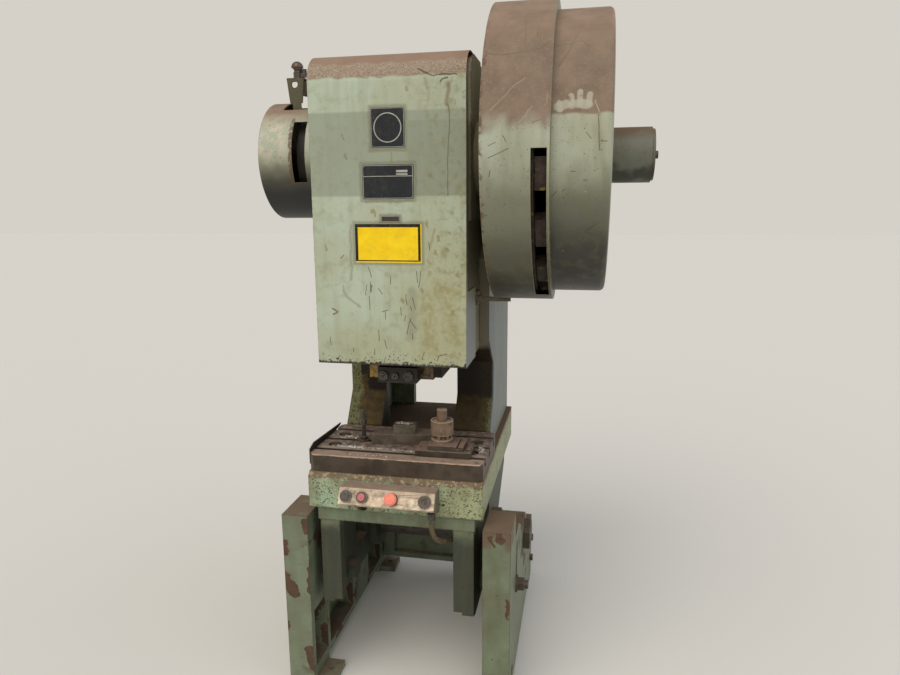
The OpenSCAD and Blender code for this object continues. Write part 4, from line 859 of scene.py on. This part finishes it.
def sheet_outline(bm, x0, x1, z0, z1, corner, proud, base=0.05):
    """A rounded plate that stands proud of the cover's front by proud millimetres."""
    rim = []
    for cx, cz, turn in ((x1 - corner, z1 - corner, 0), (x0 + corner, z1 - corner, 90),
                         (x0 + corner, z0 + corner, 180), (x1 - corner, z0 + corner, 270)):
        for step in range(5):
            angle = math.radians(turn + step * 22.5)
            rim.append((cx + corner * math.cos(angle), cz + corner * math.sin(angle)))
    front = [bm.verts.new((x * MM, (FRONT_Y - proud) * MM, z * MM)) for x, z in rim]
    back = [bm.verts.new((x * MM, (FRONT_Y - base) * MM, z * MM)) for x, z in rim]
    bm.faces.new(front)
    bm.faces.new(back[::-1])
    wall(bm, back, front)


def rivet_head(bm, x, z, radius, proud):
    """A low dome that sits on a plate."""
    rings = []
    for step in range(4):
        rise = math.radians(29 * step)
        rings.append(circle(bm, x, z, radius * math.cos(rise), proud + 0.6 * radius * math.sin(rise), 12))
    for low, high in zip(rings, rings[1:]):
        wall(bm, low, high)
    bm.faces.new(rings[-1])
    bm.faces.new(rings[0][::-1])


def ring_band(bm, x, z, radius, width, proud):
    """A flat raised ring."""
    section = ((radius, ON_PLATE), (radius, proud), (radius - width, proud), (radius - width, ON_PLATE))
    loops = [circle(bm, x, z, r, height, 48) for r, height in section]
    for low, high in zip(loops, loops[1:] + loops[:1]):
        wall(bm, low, high)


def inset(plate, step):
    x0, x1, z0, z1 = plate
    return x0 + step, x1 - step, z0 + step, z1 - step


def frame_band(bm, x0, x1, z0, z1, width, proud):
    """A thin raised frame along a plate's edge. The four widths are left, right, low and high."""
    left, right, low, high = width if isinstance(width, tuple) else (width,) * 4
    for a, b, c, d in ((x0, x1, z1 - high, z1), (x0, x1, z0, z0 + low),
                       (x0, x0 + left, z0 + low, z1 - high), (x1 - right, x1, z0 + low, z1 - high)):
        sheet_outline(bm, a, b, c, d, min(b - a, d - c) * 0.2, proud, ON_PLATE)


def make_piece(name, build, material, body="frame"):
    bm = bmesh.new()
    build(bm)
    bmesh.ops.recalc_face_normals(bm, faces=bm.faces)
    mesh = bpy.data.meshes.new(name)
    bm.to_mesh(mesh)
    bm.free()
    piece = bpy.data.objects.new(name, mesh)
    bpy.context.scene.collection.objects.link(piece)
    mesh.materials.append(material)
    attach(piece, body)
    print(name, "faces", len(mesh.polygons))


# %% [markdown]
# Stove-enamelled plates: dark, thin and slightly glossy, with pale lines where the metal was left bare. The
# yellow one is screen-printed sheet with its corners rubbed through. A picture could hold all their lines,
# but raised bands catch the light as real ones do.

# %% Plate finishes
def plate_enamel(name, shade, worn, scuff, rough=0.4, metal=0.0, level=0.66):
    open_finish(name, shade, worn, 24, rough=rough, metal=metal, grain_mm=1.5, grain=0.03)
    lay([spots(6, level, 0.04, 4.0, shift=3.0), 0.6], scuff, rough=0.6)
    lay([spots(26, 0.58, 0.1, 3.0, shift=6.0), 0.12], "#6b6450", rough=0.6)
    return close_finish(0.2, Specular_IOR_Level=0.3)


dark_plate = plate_enamel("dark_enamel_plate", "#1f2429", "#191c20", "#5f6260", 0.55, level=0.7)
brown_plate = plate_enamel("browned_enamel_plate", "#433a33", "#37302b", "#8d8272")
pale_line = plate_enamel("bare_aluminium_line", "#b9bab2", "#a3a49b", "#6f6c60", 0.4, 0.4)
yellow_print = plate_enamel("yellow_printed_sheet", "#ffdc12", "#f7cd0c", "#c0930f", 0.5, level=0.7)
black_print = plate_enamel("black_printed_frame", "#1a1812", "#211f17", "#8f7d1e", 0.75, level=0.68)
rivet_metal = plate_enamel("dull_rivet_heads", "#6d6a60", "#59564d", "#3b3830", 0.45, 0.6)

# %% Logo plate and data plate
make_piece("upper_plate", lambda bm: sheet_outline(bm, *LOGO_PLATE, 3, 0.9), dark_plate)


def upper_lines(bm):
    x0, x1, z0, z1 = LOGO_PLATE
    ring_band(bm, (x0 + x1) / 2, (z0 + z1) / 2, 44, 3.0, 1.3)
    frame_band(bm, *inset(LOGO_PLATE, 1.5), 1.2, 1.1)


make_piece("upper_plate_lines", upper_lines, pale_line)
make_piece("data_plate", lambda bm: sheet_outline(bm, *DATA_PLATE, 3, 0.9), dark_plate)


def data_lines(bm):
    frame_band(bm, *inset(DATA_PLATE, 2), 1.6, 1.2)
    left, right = DATA_PLATE[0] + 4, DATA_PLATE[1] - 4
    for line in ((left, right, 1799, 1801, 0.4), (30, 66, 1811, 1818, 1.0), (30, 66, 1803, 1808, 1.0)):
        sheet_outline(bm, *line, 1.15, ON_PLATE)


make_piece("data_plate_lines", data_lines, pale_line)

# %% Name plate and yellow plate
make_piece("name_plate", lambda bm: sheet_outline(bm, *NAME_PLATE, 1.5, 0.9), brown_plate)
make_piece("name_plate_line", lambda bm: frame_band(bm, *inset(NAME_PLATE, 1), 1.2, 1.1), pale_line)
make_piece("yellow_plate", lambda bm: sheet_outline(bm, *YELLOW_PLATE, 2, 0.9), yellow_print)
y0, y1, w0, w1 = YELLOW_PLATE
make_piece("yellow_plate_frame", lambda bm: frame_band(bm, y0, y1 - 3, w0 + 4, w1, (9, 8, 3.5, 10), 1.1),
           black_print)


# %% Rivets
def rivets(bm):
    for plate, step, radius in ((LOGO_PLATE, 5, 2.6), (DATA_PLATE, 6, 2.6), (NAME_PLATE, 3.4, 1.6)):
        x0, x1, z0, z1 = inset(plate, step)
        for x in (x0, x1):
            for z in ((z0 + z1) / 2,) if plate is NAME_PLATE else (z0, z1):
                rivet_head(bm, x, z, radius, 0.95)


make_piece("plate_rivets", rivets, rivet_metal)

# %% [markdown]
# Every stroke of the press leaves slugs and slivers. They gather round the tools and shine against the oily
# iron. Particles could scatter them, but a mesh can be exported: each is a thin bent chip, dropped at a
# seeded random place, so every run gives the same litter.

# %% Swarf
dice = random.Random(7)


def chip(bm, x, y, z, size, thick):
    """One bent sliver or round slug that lies at height z."""
    turn = dice.uniform(0, math.tau)
    sides = dice.choice((4, 4, 5, 8))
    slim = dice.uniform(0.35, 1.0)
    tip, lean = dice.uniform(-0.35, 0.35), dice.uniform(0, math.tau)
    low, high = [], []
    for i in range(sides):
        a = i * math.tau / sides
        u, v = size * math.cos(a), size * slim * math.sin(a)
        px = x + u * math.cos(turn) - v * math.sin(turn)
        py = y + u * math.sin(turn) + v * math.cos(turn)
        lift = abs(tip) * size + tip * (u * math.cos(lean) + v * math.sin(lean))
        for ring, depth in ((low, 0), (high, thick)):
            ring.append(bm.verts.new((px * MM, py * MM, (z + max(lift, 0) + depth) * MM)))
    bm.faces.new(low[::-1])
    bm.faces.new(high)
    wall(bm, low, high)


step_low, step_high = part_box("tool_step")
step_middle = [(step_low[axis] + step_high[axis]) * TO_MM / 2 for axis in (X, Y)]
heaps = {  # height: x, y, spread in x, spread in y, number
    BOLSTER_TOP: [(-205, -352, 34, 9, 46), (-222, -255, 44, 14, 40), (-160, -352, 26, 8, 30),
                  (-100, -352, 60, 7, 40), (20, -356, 60, 5, 24), (-60, -418, 120, 8, 16),
                  (276, -300, 12, 50, 40)],
    step_high.z * TO_MM: [(*step_middle, 24, 12, 50)],
}


def swarf(bm):
    for z, places in heaps.items():
        for x, y, wide, deep, number in places:
            for _ in range(number):
                chip(bm, dice.gauss(x, wide / 2), dice.gauss(y, deep / 2), z + 0.2, dice.uniform(2.0, 5.6),
                     dice.uniform(0.5, 1.2))


slivers = plate_enamel("bright_steel_slivers", "#f0eee8", "#aaa595", "#5a5348", 0.32, 0.3, level=0.72)
make_piece("swarf", swarf, slivers)

# %% [markdown]
# The floor is plain and pale. Area lamps fade with distance, so two wide suns give an even, soft light: the
# main one from above and in front, a cool weak one from the right. The world fills the shade, and the camera
# sees in it the same pale tone as the floor, so that no horizon cuts the picture.

# %% Floor and light
bpy.ops.mesh.primitive_plane_add(size=80, location=(0, 0, 0))
floor = bpy.context.object
floor.name = "floor"
floor_paint = new_material("pale_floor")
for socket, value in (("Base Color", paint_chip("#dcdad5")), ("Roughness", 0.9), ("Specular IOR Level", 0.1)):
    floor_paint.inputs[socket].default_value = value
floor.data.materials.append(bench["material"])


def wide_sun(name, towards, strength, spread, colour):
    lamp = bpy.data.objects.new(name, bpy.data.lights.new(name, "SUN"))
    lamp.data.energy = strength
    lamp.data.angle = math.radians(spread)
    lamp.data.color = paint_chip(colour)[:3]
    lamp.rotation_euler = (-Vector(towards)).to_track_quat("-Z", "Y").to_euler()
    bpy.context.scene.collection.objects.link(lamp)
    print(name, "strength", strength)


wide_sun("main_sun", (-0.25, -1.0, 1.25), 2.0, 60, "#fff7ec")
wide_sun("cool_sun", (1.0, -0.1, 0.5), 0.7, 70, "#dbe6f5")

world = bpy.data.worlds.new("studio")
world.use_nodes = True
bpy.context.scene.world = world
bench["tree"] = world.node_tree
rays = [add("LightPath", out=kind) for kind in ("Is Camera Ray", "Is Glossy Ray", "Is Transmission Ray")]
shown = rays[0]
for ray in rays[1:]:
    shown = add("Math", {0: shown, 1: ray}, operation="MAXIMUM")
SHADE_LIGHT = (0.38, 0.38, 0.38, 1)
tone = add("Mix", {FACTOR: shown, COLOUR_A: SHADE_LIGHT, COLOUR_B: paint_chip("#d5d1c8")},
           out=COLOUR_OUT, data_type="RGBA")
world.node_tree.links.new(tone, world.node_tree.nodes["Background"].inputs["Color"])
